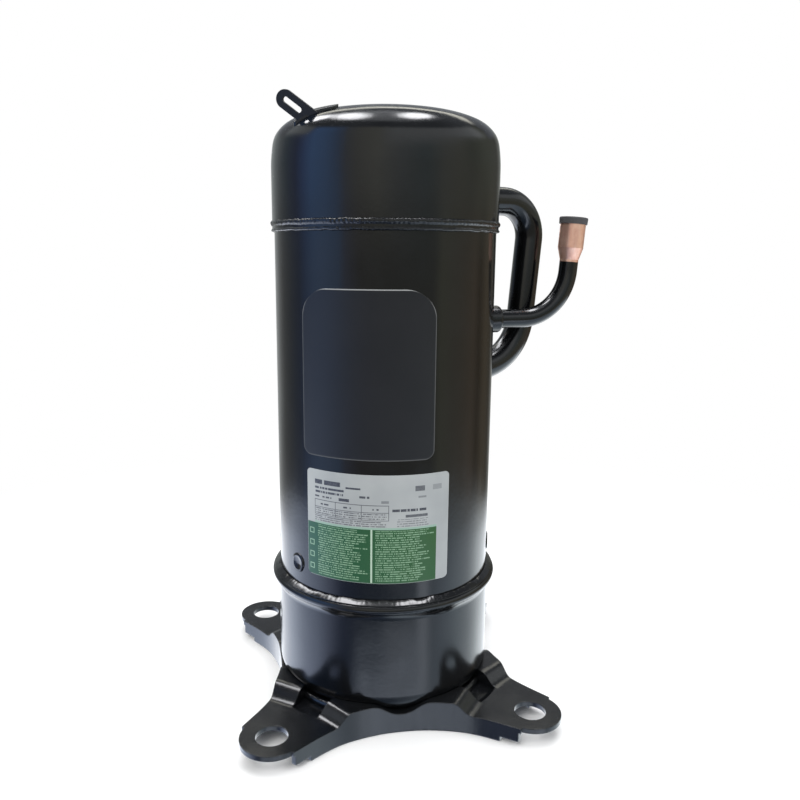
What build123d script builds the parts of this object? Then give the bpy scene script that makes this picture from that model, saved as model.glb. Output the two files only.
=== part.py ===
from build123d import *
import os
from collections import namedtuple
from math import sin, cos, tan, atan2, radians, degrees, pi, sqrt

# Hermetic scroll compressor on a four-footed plate.  Millimetres, +Z up.
# Origin: centre of the square of foot holes, on the underside of the feet.
# The label side faces -Y, the electrical terminal +Y.  Azimuths are measured from -Y
# and grow towards +X.  Profiles are (radius, height) pairs.

os.makedirs("parts", exist_ok=True)

# ---------------------------------------------------------------------------
# Driving dimensions
# ---------------------------------------------------------------------------
# foot plate
PLATE_T = 3.2               # pressed sheet thickness
FOOT_TOP = PLATE_T          # height of the top face of the feet
HOLE_PITCH = 160.0
HOLE_RADIUS = 9.75
FOOT_RADIUS = 19.2          # round end of each foot
SKIRT_DEPTH = 12.0          # folded skirt, below the foot tops
FOOT_SKIRT_DEPTH = 9.0      # shallower skirt beside each foot
RIM_HEIGHT = 7.2            # raised rim either side of each arm
RIM_WIDTH = 7.5             # how far the rim's climb reaches on its narrow side
DISH_DEPTH = 1.8            # shallow dish round the cup
CUP_GAP = 0.2               # gap between plate and cup

# pressure shell
BODY_RADIUS = 69.9
WALL = 3.2
BORE_RADIUS = BODY_RADIUS - WALL
CAP_RADIUS = 71.2
CUP_RADIUS = 71.0
CUP_CORNER = 14.0
BODY_BOTTOM = FOOT_TOP + 58.0
SPIGOT_BOTTOM = FOOT_TOP + 68.0     # the full body diameter runs between the two spigots
SPIGOT_TOP = FOOT_TOP + 293.3
BODY_TOP = FOOT_TOP + 299.5
CAP_BOTTOM = FOOT_TOP + 293.7
CAP_SHOULDER = FOOT_TOP + 331.0     # the cap is cylindrical up to here
CAP_APEX = FOOT_TOP + 366.1
CUP_FLOOR = FOOT_TOP - 2.0
PORT_CLEARANCE = 0.02

# plug welds holding the lower bearing frame
PLUG_Z = FOOT_TOP + 89.3
PLUG_RADIUS = 6.0
PLUG_AZIMUTHS = [-59.5, 75.5, 120.5, 255.5]

# scroll mechanism
ORBIT = 4.32                # orbit radius; the crank pin rests towards +Y
BASE_CIRCLE = 2.6           # radius of the involute's base circle
WRAP_T = 3.8
THRUST_Z = 264.0            # thrust face of the main frame
FRAME_TOP = 272.0
WRAP_FOOT = 272.0           # foot of the orbiting wrap
FLANGE_TOP = 296.0          # seat of the bolt heads on the fixed scroll
FIXED_BASE = 300.0          # underside of the fixed scroll's base
FIXED_TOP = 309.0
TIP_GAP = 0.1
WRAP_H = FIXED_BASE - WRAP_FOOT - TIP_GAP
ORBIT_PLATE_RADIUS = 50.0
FRAME_RECESS_RADIUS = 57.0
FRAME_RADIUS = 66.66
KEY_RADIUS = 42.0           # centre of the Oldham ring's keys

# drive
SHAFT_RADIUS = 10.0
MAIN_JOURNAL = 11.0
LOWER_JOURNAL = 8.0
PIN_RADIUS = 8.0
CLEARANCE = 0.03            # running clearance on radius
MAIN_BUSH_RADIUS = 14.0
PIN_BUSH_RADIUS = 10.0
LOWER_BUSH_RADIUS = 10.0
ROTOR_RADIUS = 34.0
STATOR_RADIUS = 66.68
STATOR_BORE = 34.5
STACK_BOTTOM = 112.0
STACK_TOP = 182.0
STACK_H = STACK_TOP - STACK_BOTTOM

# electrical terminal
TERMINAL_Z = 222.0
TERMINAL_RADIUS = 16.0


def above_feet(points):
    """Turn (radius, height above the foot tops) points into profile points."""
    return [(radius, FOOT_TOP + height) for radius, height in points]


# Pipe centrelines lie in an upright plane; bends rounds each inner corner of points.
Pipe = namedtuple("Pipe", "azimuth radius wall points bends")
PIPE_START = 66.0           # radius where pipes and collars start, inside the wall
CONNECTING = Pipe(
    azimuth=110.0, radius=9.525, wall=1.2, bends=(37.7, 23.7),
    points=above_feet([(PIPE_START, 198.17), (109.83, 209.54),
                       (119.6, 315.7), (PIPE_START, 315.7)]))
DISCHARGE = Pipe(
    azimuth=98.0, radius=6.35, wall=1.0, bends=(34.6,),
    points=above_feet([(PIPE_START, 236.6), (130.6, 237.0), (133.5, 275.0)]))
SUCTION_Z = 282.0
SUCTION = Pipe(
    azimuth=200.0, radius=7.94, wall=1.0, bends=(26.0,),
    points=[(59.5, SUCTION_Z), (104.0, SUCTION_Z), (104.0, SUCTION_Z + 46.0)])
CONNECTING_TOP = CONNECTING.points[-1][1]   # height where it enters the cap


# ---------------------------------------------------------------------------
# Placing helpers
# ---------------------------------------------------------------------------
def radial(azimuth):
    """Unit vector pointing outwards at an azimuth."""
    return Vector(sin(radians(azimuth)), -cos(radians(azimuth)), 0)


def tangent(azimuth):
    """Horizontal direction square to the radius, towards growing azimuth."""
    return (cos(radians(azimuth)), sin(radians(azimuth)), 0)


def at_azimuth(azimuth, radius):
    """(x, y) of a point at an azimuth and radius."""
    return (radius * sin(radians(azimuth)), -radius * cos(radians(azimuth)))


def upright_plane(azimuth):
    """Plane through the axis: local x is radius, local y is height."""
    return Plane(origin=(0, 0, 0), x_dir=radial(azimuth),
                 z_dir=(-cos(radians(azimuth)), -sin(radians(azimuth)), 0))


def outward_plane(azimuth, radius, height, rise=0.0):
    """Plane whose normal points outwards, tilted upwards by the rise angle."""
    normal = radial(azimuth) * cos(radians(rise)) + Vector(0, 0, sin(radians(rise)))
    return Plane(origin=(radial(azimuth) * radius + Vector(0, 0, height)),
                 x_dir=tangent(azimuth), z_dir=normal)


def back_plane(y, height):
    """Upright plane facing +Y: local y is height."""
    return Plane(origin=(0, y, height), x_dir=(-1, 0, 0), z_dir=(0, 1, 0))


# ---------------------------------------------------------------------------
# Shape helpers
# ---------------------------------------------------------------------------
def piece(build):
    """Decorator: build the piece at once, write it under the function's name, and let
    that name stand for the finished part."""
    part = build()
    part.label = build.__name__
    export_step(part, "parts/" + part.label + ".step")
    return part


def turned(points):
    """Part made by turning a closed (radius, height) profile about Z."""
    with BuildPart() as body:
        with BuildSketch(Plane.XZ):
            with BuildLine():
                Polyline(*points, close=True)
            make_face()
        revolve(axis=Axis.Z)
    return body.part


def corner_arc(radius, floor, corner):
    """Start, middle and end of the arc from a flat floor up to an upright wall."""
    centre_r, centre_z = radius - corner, floor + corner
    return [(centre_r, floor),
            (centre_r + corner * sin(pi / 4), centre_z - corner * cos(pi / 4)),
            (radius, centre_z)]


def bend(before, corner, after, radius):
    """Start, middle and end of the arc that rounds a corner."""
    to_before = (before[0] - corner[0], before[1] - corner[1])
    to_after = (after[0] - corner[0], after[1] - corner[1])
    length_before = sqrt(to_before[0] ** 2 + to_before[1] ** 2)
    length_after = sqrt(to_after[0] ** 2 + to_after[1] ** 2)
    ax, ay = to_before[0] / length_before, to_before[1] / length_before
    bx, by = to_after[0] / length_after, to_after[1] / length_after
    half_angle = atan2(abs(ax * by - ay * bx), ax * bx + ay * by) / 2
    setback = radius / tan(half_angle)
    to_arc = radius / sin(half_angle) - radius
    bisector = sqrt((ax + bx) ** 2 + (ay + by) ** 2)
    return ((corner[0] + ax * setback, corner[1] + ay * setback),
            (corner[0] + (ax + bx) / bisector * to_arc,
             corner[1] + (ay + by) / bisector * to_arc),
            (corner[0] + bx * setback, corner[1] + by * setback))


# ---------------------------------------------------------------------------
# Cap dome outlines, from the shoulder inwards: (radius, height above the foot tops)
# ---------------------------------------------------------------------------
CAP_OUTSIDE = above_feet([
    (71.0, 336.0), (70.4, 342.0), (69.5, 346.9), (67.8, 350.7), (65.1, 354.0), (61.5, 356.9),
    (56.9, 359.2), (49.9, 361.55), (42.0, 363.25), (35.0, 364.35), (25.0, 365.35),
    (15.0, 365.9)])
CAP_INSIDE = above_feet([
    (67.82, 335.68), (67.23, 341.56), (66.43, 345.98), (65.08, 349.01), (62.86, 351.72),
    (59.74, 354.23), (55.71, 356.23), (49.06, 358.46), (41.41, 360.1), (34.61, 361.17),
    (24.75, 362.16), (14.9, 362.7)])
# outer face of the lug's strap lying on the dome
STRAP_OUTSIDE = above_feet([
    (72.39, 336.14), (71.79, 342.19), (70.84, 347.3), (68.99, 351.44), (66.08, 355.0),
    (62.27, 358.07), (57.42, 360.5), (50.27, 362.9), (42.26, 364.63), (35.17, 365.74),
    (25.11, 366.75), (15.04, 367.3)])
STRAP_T = 1.4


def dome_curve(radius, outline, apex):
    """Draw a dome's half outline from the shoulder to the axis."""
    Spline((radius, CAP_SHOULDER), *outline, (0, apex), tangents=((0, 1), (-1, 0)))


def dome_solid(outline, growth):
    """Solid of the cap's outside, grown by an amount; used for trimming."""
    radius, apex = CAP_RADIUS + growth, CAP_APEX + growth
    with BuildPart() as dome:
        with BuildSketch(Plane.XZ):
            with BuildLine():
                Polyline((0, apex), (0, CAP_BOTTOM), (radius, CAP_BOTTOM),
                         (radius, CAP_SHOULDER))
                dome_curve(radius, outline, apex)
            make_face()
        revolve(axis=Axis.Z)
    return dome.part


def shell_solid():
    """Solid cylinder of the body's outside; used for trimming."""
    with BuildPart() as cylinder:
        with BuildSketch(Plane.XY):
            Circle(BODY_RADIUS)
        extrude(amount=CAP_BOTTOM)
    return cylinder.part


def cup_solid(growth):
    """Solid of the bottom cup's outside, grown by an amount; used for trimming."""
    radius, floor = CUP_RADIUS + growth, CUP_FLOOR - growth
    corner = corner_arc(radius, floor, CUP_CORNER + growth)
    top = FOOT_TOP + 60
    with BuildPart() as cup:
        with BuildSketch(Plane.XZ):
            with BuildLine():
                Line((0, floor), corner[0])
                ThreePointArc(*corner)
                Polyline(corner[-1], (radius, top), (0, top), (0, floor))
            make_face()
        revolve(axis=Axis.Z)
    return cup.part


cap_fill = dome_solid(CAP_OUTSIDE, 0.0)
shell_fill = shell_solid()
cup_clearance = cup_solid(CUP_GAP)

# ---------------------------------------------------------------------------
# Foot plate: pressed cross with four feet, folded skirts and raised rims
# ---------------------------------------------------------------------------
# (x, y) along the front side of the cross, from -X to +X
SIDE = [(-68.0, -97.5), (-56.0, -88.8), (-47.0, -82.8), (-40.0, -79.0), (-26.0, -74.2),
        (-12.0, -71.6), (0.0, -71.0), (12.0, -71.6), (26.0, -74.2), (40.0, -79.0),
        (47.0, -82.8), (56.0, -88.8), (68.0, -97.5)]
RAMP_FOOT = (-46.5, -71.5)      # middle of a rim's ramp, at its foot
RAMP_CLIMB = (0.80, 0.60)       # horizontal direction in which the ramp climbs
BLANK = 240                     # square that covers the whole plate


def quarter_turns(points, turns):
    for _ in range(turns):
        points = [(-y, x) for x, y in points]
    return points


def inner_side():
    """The side curve moved inwards by the sheet thickness."""
    points = []
    for i, (x, y) in enumerate(SIDE):
        before, after = SIDE[max(0, i - 1)], SIDE[min(len(SIDE) - 1, i + 1)]
        along_x, along_y = after[0] - before[0], after[1] - before[1]
        length = sqrt(along_x * along_x + along_y * along_y)
        points.append((x - along_y / length * PLATE_T, y + along_x / length * PLATE_T))
    return points


def cross_outline(side):
    """Draw the side curve on all four sides and join them with straight ends."""
    sides = [quarter_turns(side, k) for k in range(4)]
    for points in sides:
        Spline(*points)
    for k in range(4):
        Line(sides[k][-1], sides[(k + 1) % 4][0])


def raised_rim(inset):
    """The front side's -X rim, sunk and narrowed by an inset."""
    low = FOOT_TOP - inset
    high = low + RIM_HEIGHT
    middle = (low + high) / 2
    bottom = FOOT_TOP - SKIRT_DEPTH
    shift = inset * 0.4
    ramp = Plane(origin=(*RAMP_FOOT, 0), x_dir=(*RAMP_CLIMB, 0),
                 z_dir=(RAMP_CLIMB[1], -RAMP_CLIMB[0], 0))
    with BuildPart() as rim:
        # ramp climbing along local x, extended to both sides of its middle
        for reach in (30, -(RIM_WIDTH - inset)):
            with BuildSketch(ramp):
                with BuildLine():
                    Spline((shift - 3.0, low), (shift + 4.0, middle), (11.0 + shift, high),
                           tangents=((1, 0), (1, 0)))
                    Polyline((11.0 + shift, high), (60, high), (60, bottom),
                             (shift - 3.0, bottom), (shift - 3.0, low))
                make_face()
            extrude(amount=reach)
        # fall from full height down to the middle of the side
        with BuildSketch(Plane.XZ.offset(40)):
            with BuildLine():
                Polyline((-20, high), (-70, high), (-70, bottom), (0, bottom), (0, low))
                Spline((-20, high), (-10, middle), (0, low), tangents=((1, 0), (1, 0)))
            make_face()
        extrude(amount=70, mode=Mode.INTERSECT)
    return rim.part


def space_above(inset, dish_radius):
    """Everything above the plate's top face, or above its underside for an inset."""
    top = FOOT_TOP - inset
    rim = raised_rim(inset)
    rims = [turned_rim for k in range(4) for turned_rim in
            (rim.rotate(Axis.Z, 90 * k), rim.mirror(Plane.YZ).rotate(Axis.Z, 90 * k))]
    with BuildPart() as space:
        with BuildSketch(Plane.XY.offset(top)):
            Rectangle(BLANK, BLANK)
        extrude(amount=20)
        add(turned([(0, top - DISH_DEPTH), (dish_radius, top - DISH_DEPTH),
                    (dish_radius + 4.5, top + 0.5), (0, top + 0.5)]))
        add(rims, mode=Mode.SUBTRACT)
    return space.part


def space_below():
    """The hollow enclosed by the plate's underside and its skirts."""
    with BuildPart() as hollow:
        with BuildSketch(Plane.XY.offset(FOOT_TOP - SKIRT_DEPTH - 1)):
            with BuildLine():
                cross_outline(inner_side())
            make_face()
        extrude(amount=SKIRT_DEPTH + 12)
        add(space_above(PLATE_T, 83), mode=Mode.SUBTRACT)
        add(cup_solid(CUP_GAP + PLATE_T), mode=Mode.SUBTRACT)
    return hollow.part


@piece
def base_plate():
    below_skirt = Plane.XY.offset(FOOT_TOP - SKIRT_DEPTH - 1)
    below_feet = Plane.XY.offset(-1)
    with BuildPart() as plate:
        with BuildSketch(Plane.XY.offset(FOOT_TOP - SKIRT_DEPTH)):
            with BuildLine():
                cross_outline(SIDE)
            make_face()
        extrude(amount=SKIRT_DEPTH + 12)
        add(space_above(0.0, 81), mode=Mode.SUBTRACT)
        add(cup_clearance, mode=Mode.SUBTRACT)
        with BuildSketch(Plane.XY.offset(FOOT_TOP - PLATE_T)):
            with GridLocations(HOLE_PITCH, HOLE_PITCH, 2, 2):
                Circle(FOOT_RADIUS)
        extrude(amount=PLATE_T)
        add(space_below(), mode=Mode.SUBTRACT)
        # open the skirt below each foot
        with BuildSketch(below_skirt):
            with PolarLocations(118, 4, start_angle=45):
                Rectangle(20, 35.6)
            with PolarLocations(127.5, 4, start_angle=45):
                Rectangle(24, 60)
        extrude(amount=SKIRT_DEPTH + 1 - PLATE_T, mode=Mode.SUBTRACT)
        # shallower skirt beside the feet
        with BuildSketch(below_skirt):
            with PolarLocations(117, 4, start_angle=45):
                Rectangle(26, 60)
        extrude(amount=SKIRT_DEPTH + 1 - FOOT_SKIRT_DEPTH, mode=Mode.SUBTRACT)
        # foot holes
        with BuildSketch(below_feet):
            with GridLocations(HOLE_PITCH, HOLE_PITCH, 2, 2):
                Circle(HOLE_RADIUS)
        extrude(amount=PLATE_T + 2, mode=Mode.SUBTRACT)
        # relief notches where the skirt meets the foot
        near, far = 2 * 69.6, 2 * 99.0
        with BuildSketch(below_feet):
            with GridLocations(near, far, 2, 2):
                Circle(1.9)
            with GridLocations(far, near, 2, 2):
                Circle(1.9)
        extrude(amount=PLATE_T + 2, mode=Mode.SUBTRACT)
        # opening below the cup
        with BuildSketch(Plane.XY.offset(-12)):
            Circle(38)
        extrude(amount=20, mode=Mode.SUBTRACT)
    return plate.part


# ---------------------------------------------------------------------------
# Pressure shell
# ---------------------------------------------------------------------------
@piece
def bottom_cup():
    """Pressed cup with a flared mouth."""
    inside, inner_floor = CUP_RADIUS - WALL, CUP_FLOOR + WALL
    outer_corner = corner_arc(CUP_RADIUS, CUP_FLOOR, CUP_CORNER)
    inner_corner = corner_arc(inside, inner_floor, CUP_CORNER - WALL)
    outer_flare = above_feet([(CUP_RADIUS, 62.5), (72.3, 66.0), (74.6, 68.6)])
    lip = above_feet([(74.6, 68.6), (75.2, 71.2), (73.6, 73.2)])
    mouth = above_feet([(73.6, 73.2), (71.1, 73.4), (71.0, 70.0)])
    inner_flare = above_feet([(71.0, 70.0), (69.6, 66.6), (inside, 62.0)])
    with BuildPart() as cup:
        with BuildSketch(Plane.XZ):
            with BuildLine():
                Line((0, CUP_FLOOR), outer_corner[0])
                ThreePointArc(*outer_corner)
                Line(outer_corner[-1], outer_flare[0])
                Spline(*outer_flare, tangents=((0, 1), (1, 0.55)))
                ThreePointArc(*lip)
                Polyline(*mouth)
                Spline(*inner_flare, tangents=((-0.2, -1), (0, -1)))
                Line(inner_flare[-1], inner_corner[-1])
                ThreePointArc(*reversed(inner_corner))
                Polyline(inner_corner[0], (0, inner_floor), (0, CUP_FLOOR))
            make_face()
        revolve(axis=Axis.Z)
    return cup.part


@piece
def base_welds():
    """Weld runs between cup and foot plate, one at each arm."""
    with BuildPart() as welds:
        with BuildSketch(Plane.XZ):
            with Locations((68.9, FOOT_TOP - 0.2)):
                Circle(2.6)
        revolve(axis=Axis.Z)
        with BuildSketch(Plane.XY.offset(-10)):
            with PolarLocations(70, 4, start_angle=45):
                Rectangle(24, 34)
        extrude(amount=40, mode=Mode.INTERSECT)
        add(cup_clearance, mode=Mode.SUBTRACT)
        add(base_plate, mode=Mode.SUBTRACT)
    return welds.part


def first_rise(pipe):
    """Angle at which a pipe's first leg rises."""
    (r0, z0), (r1, z1) = pipe.points[:2]
    return degrees(atan2(z1 - z0, r1 - r0))


def start_plane(pipe):
    """Plane across the pipe at its first point."""
    radius, height = pipe.points[0]
    return outward_plane(pipe.azimuth, radius, height, first_rise(pipe))


def entry_plane(pipe):
    """Plane across the pipe where it meets the body's outside."""
    radius, height = pipe.points[0]
    rise = first_rise(pipe)
    height += tan(radians(rise)) * (BODY_RADIUS - radius)
    return outward_plane(pipe.azimuth, BODY_RADIUS, height, rise)


@piece
def body_shell():
    """Tube with turned spigots, port holes and plug-weld holes."""
    ports = [(entry_plane(pipe), pipe.radius) for pipe in (CONNECTING, DISCHARGE, SUCTION)]
    ports.append((outward_plane(180, BODY_RADIUS, TERMINAL_Z), TERMINAL_RADIUS))
    with BuildPart() as shell:
        add(turned([(BORE_RADIUS, BODY_BOTTOM), (67.5, BODY_BOTTOM), (67.7, BODY_BOTTOM + 1.0),
                    (67.7, SPIGOT_BOTTOM), (BODY_RADIUS, SPIGOT_BOTTOM),
                    (BODY_RADIUS, SPIGOT_TOP), (67.9, SPIGOT_TOP), (67.9, BODY_TOP - 0.6),
                    (67.4, BODY_TOP), (BORE_RADIUS, BODY_TOP)]))
        for plane, radius in ports:
            with BuildSketch(plane):
                Circle(radius + PORT_CLEARANCE)
            extrude(amount=12, both=True, mode=Mode.SUBTRACT)
        for azimuth in PLUG_AZIMUTHS:
            with BuildSketch(outward_plane(azimuth, BODY_RADIUS, PLUG_Z)):
                Circle(PLUG_RADIUS)
            extrude(amount=10, both=True, mode=Mode.SUBTRACT)
    return shell.part


@piece
def plug_welds():
    with BuildPart() as welds:
        for azimuth in PLUG_AZIMUTHS:
            with BuildSketch(outward_plane(azimuth, BORE_RADIUS + 0.01, PLUG_Z)):
                Circle(PLUG_RADIUS - 0.03)
            extrude(amount=4.0, taper=3)
    return welds.part


@piece
def top_cap():
    inside, inner_apex = CAP_RADIUS - WALL, CAP_APEX - WALL
    with BuildPart() as cap:
        with BuildSketch(Plane.XZ):
            with BuildLine():
                Polyline((inside, CAP_SHOULDER), (inside, CAP_BOTTOM),
                         (CAP_RADIUS, CAP_BOTTOM), (CAP_RADIUS, CAP_SHOULDER))
                dome_curve(CAP_RADIUS, CAP_OUTSIDE, CAP_APEX)
                Line((0, CAP_APEX), (0, inner_apex))
                dome_curve(inside, CAP_INSIDE, inner_apex)
            make_face()
        revolve(axis=Axis.Z)
        with BuildSketch(outward_plane(CONNECTING.azimuth, CAP_RADIUS, CONNECTING_TOP)):
            Circle(CONNECTING.radius + PORT_CLEARANCE)
        extrude(amount=12, both=True, mode=Mode.SUBTRACT)
    return cap.part


@piece
def top_seam_weld():
    """Weld round the cap's lower edge."""
    bead = above_feet([(BODY_RADIUS, 290.2), (71.1, 291.0), (71.9, 293.6), (71.9, 296.4),
                       (CAP_RADIUS, 299.2)])
    return turned(bead + [(CAP_RADIUS, CAP_BOTTOM), (BODY_RADIUS, CAP_BOTTOM)])


@piece
def bottom_seam_weld():
    """Weld round the cup's mouth."""
    return turned(above_feet([(BODY_RADIUS, 70.6), (70.95, 70.6), (71.05, 73.45),
                              (72.6, 73.45), (71.9, 75.4), (BODY_RADIUS, 77.0)]))


# ---------------------------------------------------------------------------
# Lifting lug: slotted eye on a strap that follows the cap's shoulder
# ---------------------------------------------------------------------------
LUG_T = 2.0
LUG_TWIST = radians(3)                              # turn of the eye in its own plane
LUG_ROOT = Vector(-52.06, -36.34, FOOT_TOP + 355.42)    # where the eye meets the dome
STRAP_ENDS = (Vector(-57.6, -30.4, 0), Vector(-35.0, -39.9, 0))
STRAP_WIDTH = 9.0
EYE_X = 0.9                                         # sideways shift of the eye


def lug_plane():
    """Plane of the eye: local y points out of the dome along the eye."""
    up = Vector(-0.732, 0.252, 0.633).normalized()
    across = Vector(0.527, -0.377, 0.760)
    across = (across - up * across.dot(up)).normalized()
    twisted_up = up * cos(LUG_TWIST) - across * sin(LUG_TWIST)
    twisted_across = across * cos(LUG_TWIST) + up * sin(LUG_TWIST)
    return Plane(origin=LUG_ROOT, x_dir=twisted_across,
                 z_dir=twisted_across.cross(twisted_up))


def lug_strap():
    """Strap solid down through the cap; the lug trims it to the cap's outside."""
    start, end = STRAP_ENDS
    along = end - start
    middle = ((start.X + end.X) / 2, (start.Y + end.Y) / 2, 0)
    with BuildPart() as strap:
        with BuildSketch(Plane.XY.offset(FOOT_TOP + 345)):
            with Locations(Location(middle, (0, 0, degrees(atan2(along.Y, along.X))))):
                RectangleRounded(along.length, STRAP_WIDTH, 1.6)
        extrude(amount=40)
        add(dome_solid(STRAP_OUTSIDE, STRAP_T), mode=Mode.INTERSECT)
    return strap.part


@piece
def lifting_lug():
    with BuildPart() as lug:
        with BuildSketch(lug_plane()):
            with Locations((EYE_X, 3.1)):
                Rectangle(10.4, 24.6)
            with Locations((EYE_X, 15.4)):
                Circle(5.2)
            with Locations((EYE_X, 10.2)):
                SlotCenterToCenter(9.8, 3.2, rotation=90, mode=Mode.SUBTRACT)
        extrude(amount=LUG_T / 2, both=True)
        add(lug_strap())
        add(cap_fill, mode=Mode.SUBTRACT)
    return lug.part


# ---------------------------------------------------------------------------
# Pipes, collars, and the sockets and plugs on their ends
# ---------------------------------------------------------------------------
def pipe_path(pipe):
    """Draw a pipe's centreline: straight legs joined by arcs."""
    plane = upright_plane(pipe.azimuth)
    leg_start = pipe.points[0]
    for i, radius in enumerate(pipe.bends, start=1):
        start, middle, end = bend(leg_start, pipe.points[i], pipe.points[i + 1], radius)
        Line(plane.from_local_coords(leg_start), plane.from_local_coords(start))
        ThreePointArc(plane.from_local_coords(start), plane.from_local_coords(middle),
                      plane.from_local_coords(end))
        leg_start = end
    Line(plane.from_local_coords(leg_start), plane.from_local_coords(pipe.points[-1]))


def bent_pipe(pipe):
    with BuildPart() as tube:
        with BuildLine() as route:
            pipe_path(pipe)
        with BuildSketch(start_plane(pipe)):
            Circle(pipe.radius)
            Circle(pipe.radius - pipe.wall, mode=Mode.SUBTRACT)
        sweep(path=route.line)
    return tube.part


def rounded_collar(pipe, plane, radius, length, rounding):
    """Collar with a rounded outer edge, trimmed to the body."""
    with BuildPart() as collar:
        with BuildSketch(plane):
            Circle(radius)
        extrude(amount=length)
        outward_axis = Axis((0, 0, 0), radial(pipe.azimuth))
        fillet(collar.faces().sort_by(outward_axis)[-1].edges(), radius=rounding)
        with BuildSketch(plane):
            Circle(pipe.radius)
        extrude(amount=24, both=True, mode=Mode.SUBTRACT)
        add(shell_fill, mode=Mode.SUBTRACT)
    return collar.part


def end_location(pipe):
    """Location of a pipe's outer end, with local z along its last leg."""
    (r0, z0), (r1, z1) = pipe.points[-2:]
    lean = atan2(r1 - r0, z1 - z0)
    origin = upright_plane(pipe.azimuth).from_local_coords(pipe.points[-1])
    along = radial(pipe.azimuth) * sin(lean) + Vector(0, 0, cos(lean))
    return Plane(origin=origin, x_dir=tangent(pipe.azimuth), z_dir=along).location


def socket_stub(pipe, bore, spigot, spigot_length, throat, flare_top,
                socket_inside, socket_outside, socket_top):
    """Spigot inside the pipe's end, flaring out into a socket."""
    stub = turned([
        (bore, -spigot_length), (spigot, -spigot_length), (spigot, 0.02), (pipe.radius, 0.02),
        (pipe.radius, 1.6), (socket_outside, flare_top), (socket_outside, socket_top),
        (socket_inside, socket_top), (socket_inside, flare_top + 0.4), (throat, 1.9),
        (bore, 1.9)])
    return stub.moved(end_location(pipe))


def socket_plug(pipe, socket_inside, socket_top, tip, flange_bottom, flange_top):
    """Plug in the socket, with a flange over its rim; the last three are radii."""
    fit = socket_inside - 0.03
    flange_z = socket_top + 0.05
    top = socket_top + 4.6
    with BuildPart() as plug:
        add(turned([(0, socket_top - 8.5), (tip, socket_top - 8.5), (fit, socket_top - 7.0),
                    (fit, flange_z), (flange_bottom, flange_z), (flange_top, top), (0, top)]))
        fillet(plug.edges().sort_by(Axis.Z)[-1], radius=0.9)
    return plug.part.moved(end_location(pipe))


DISCHARGE_SOCKET = dict(socket_inside=7.95, socket_top=25.5)
SUCTION_SOCKET = dict(socket_inside=9.55, socket_top=24.0)


@piece
def connecting_pipe():
    """Pipe from the body's side up into the cap."""
    return bent_pipe(CONNECTING)


@piece
def connecting_pipe_collars():
    """Tapered collars where the pipe enters the body and the cap."""
    # plane, growth over the pipe's radius, length, taper
    collars = [
        (start_plane(CONNECTING), 3.0, 7.4, 12),
        (outward_plane(CONNECTING.azimuth, PIPE_START, CONNECTING_TOP), 3.2, 8.4, 14),
    ]
    with BuildPart() as both:
        for plane, growth, length, taper in collars:
            with BuildSketch(plane):
                Circle(CONNECTING.radius + growth)
            extrude(amount=length, taper=taper)
            with BuildSketch(plane):
                Circle(CONNECTING.radius)
            extrude(amount=14, both=True, mode=Mode.SUBTRACT)
        add(shell_fill, mode=Mode.SUBTRACT)
        add(cap_fill, mode=Mode.SUBTRACT)
    return both.part


@piece
def discharge_pipe():
    return bent_pipe(DISCHARGE)


@piece
def discharge_collar():
    return rounded_collar(DISCHARGE, start_plane(DISCHARGE),
                          radius=9.1, length=15.6, rounding=2.2)


@piece
def discharge_stub():
    return socket_stub(DISCHARGE, bore=4.4, spigot=5.3, spigot_length=6.5, throat=5.55,
                       flare_top=9.5, socket_outside=8.6, **DISCHARGE_SOCKET)


@piece
def discharge_plug():
    return socket_plug(DISCHARGE, tip=7.3, flange_bottom=9.5, flange_top=9.75,
                       **DISCHARGE_SOCKET)


@piece
def suction_pipe():
    """Pipe at the back, straight into the fixed scroll's inlet."""
    return bent_pipe(SUCTION)


@piece
def suction_collar():
    return rounded_collar(SUCTION, outward_plane(SUCTION.azimuth, PIPE_START, SUCTION_Z),
                          radius=10.6, length=10.0, rounding=1.4)


@piece
def suction_stub():
    return socket_stub(SUCTION, bore=5.9, spigot=6.9, spigot_length=10.0, throat=7.1,
                       flare_top=9.0, socket_outside=10.3, **SUCTION_SOCKET)


@piece
def suction_plug():
    return socket_plug(SUCTION, tip=8.9, flange_bottom=11.3, flange_top=11.5,
                       **SUCTION_SOCKET)


# ---------------------------------------------------------------------------
# Electrical terminal at the back
# ---------------------------------------------------------------------------
TERMINAL_PIN_RADIUS = 1.6
GLASS_RADIUS = 3.4
PIN_CIRCLE = 7.6
# local (x, y) of the pins on the terminal plane; local x is -X
TERMINAL_PINS = [(PIN_CIRCLE * cos(radians(angle)), PIN_CIRCLE * sin(radians(angle)))
                 for angle in (90, 210, 330)]
TERMINAL_PLANE = back_plane(64.0, TERMINAL_Z)
STUD_Z = TERMINAL_Z + 28.0
STUD_RADIUS = 2.5
COVER_PLANE = back_plane(60.0, TERMINAL_Z + 6.0)
COVER_TAPER = 4


@piece
def terminal_body():
    flange_t = 1.6
    with BuildPart() as body:
        with BuildSketch(TERMINAL_PLANE):
            Circle(TERMINAL_RADIUS)
            with Locations(*TERMINAL_PINS):
                Circle(GLASS_RADIUS, mode=Mode.SUBTRACT)
        extrude(amount=8.0)
        with BuildSketch(TERMINAL_PLANE.offset(-flange_t)):
            Circle(17.5)
            with Locations(*TERMINAL_PINS):
                Circle(GLASS_RADIUS, mode=Mode.SUBTRACT)
        extrude(amount=flange_t)
    return body.part


@piece
def terminal_glass():
    with BuildPart() as glass:
        with BuildSketch(TERMINAL_PLANE.offset(-2.4)):
            with Locations(*TERMINAL_PINS):
                Circle(GLASS_RADIUS)
                Circle(TERMINAL_PIN_RADIUS, mode=Mode.SUBTRACT)
        extrude(amount=11.2)
    return glass.part


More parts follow.
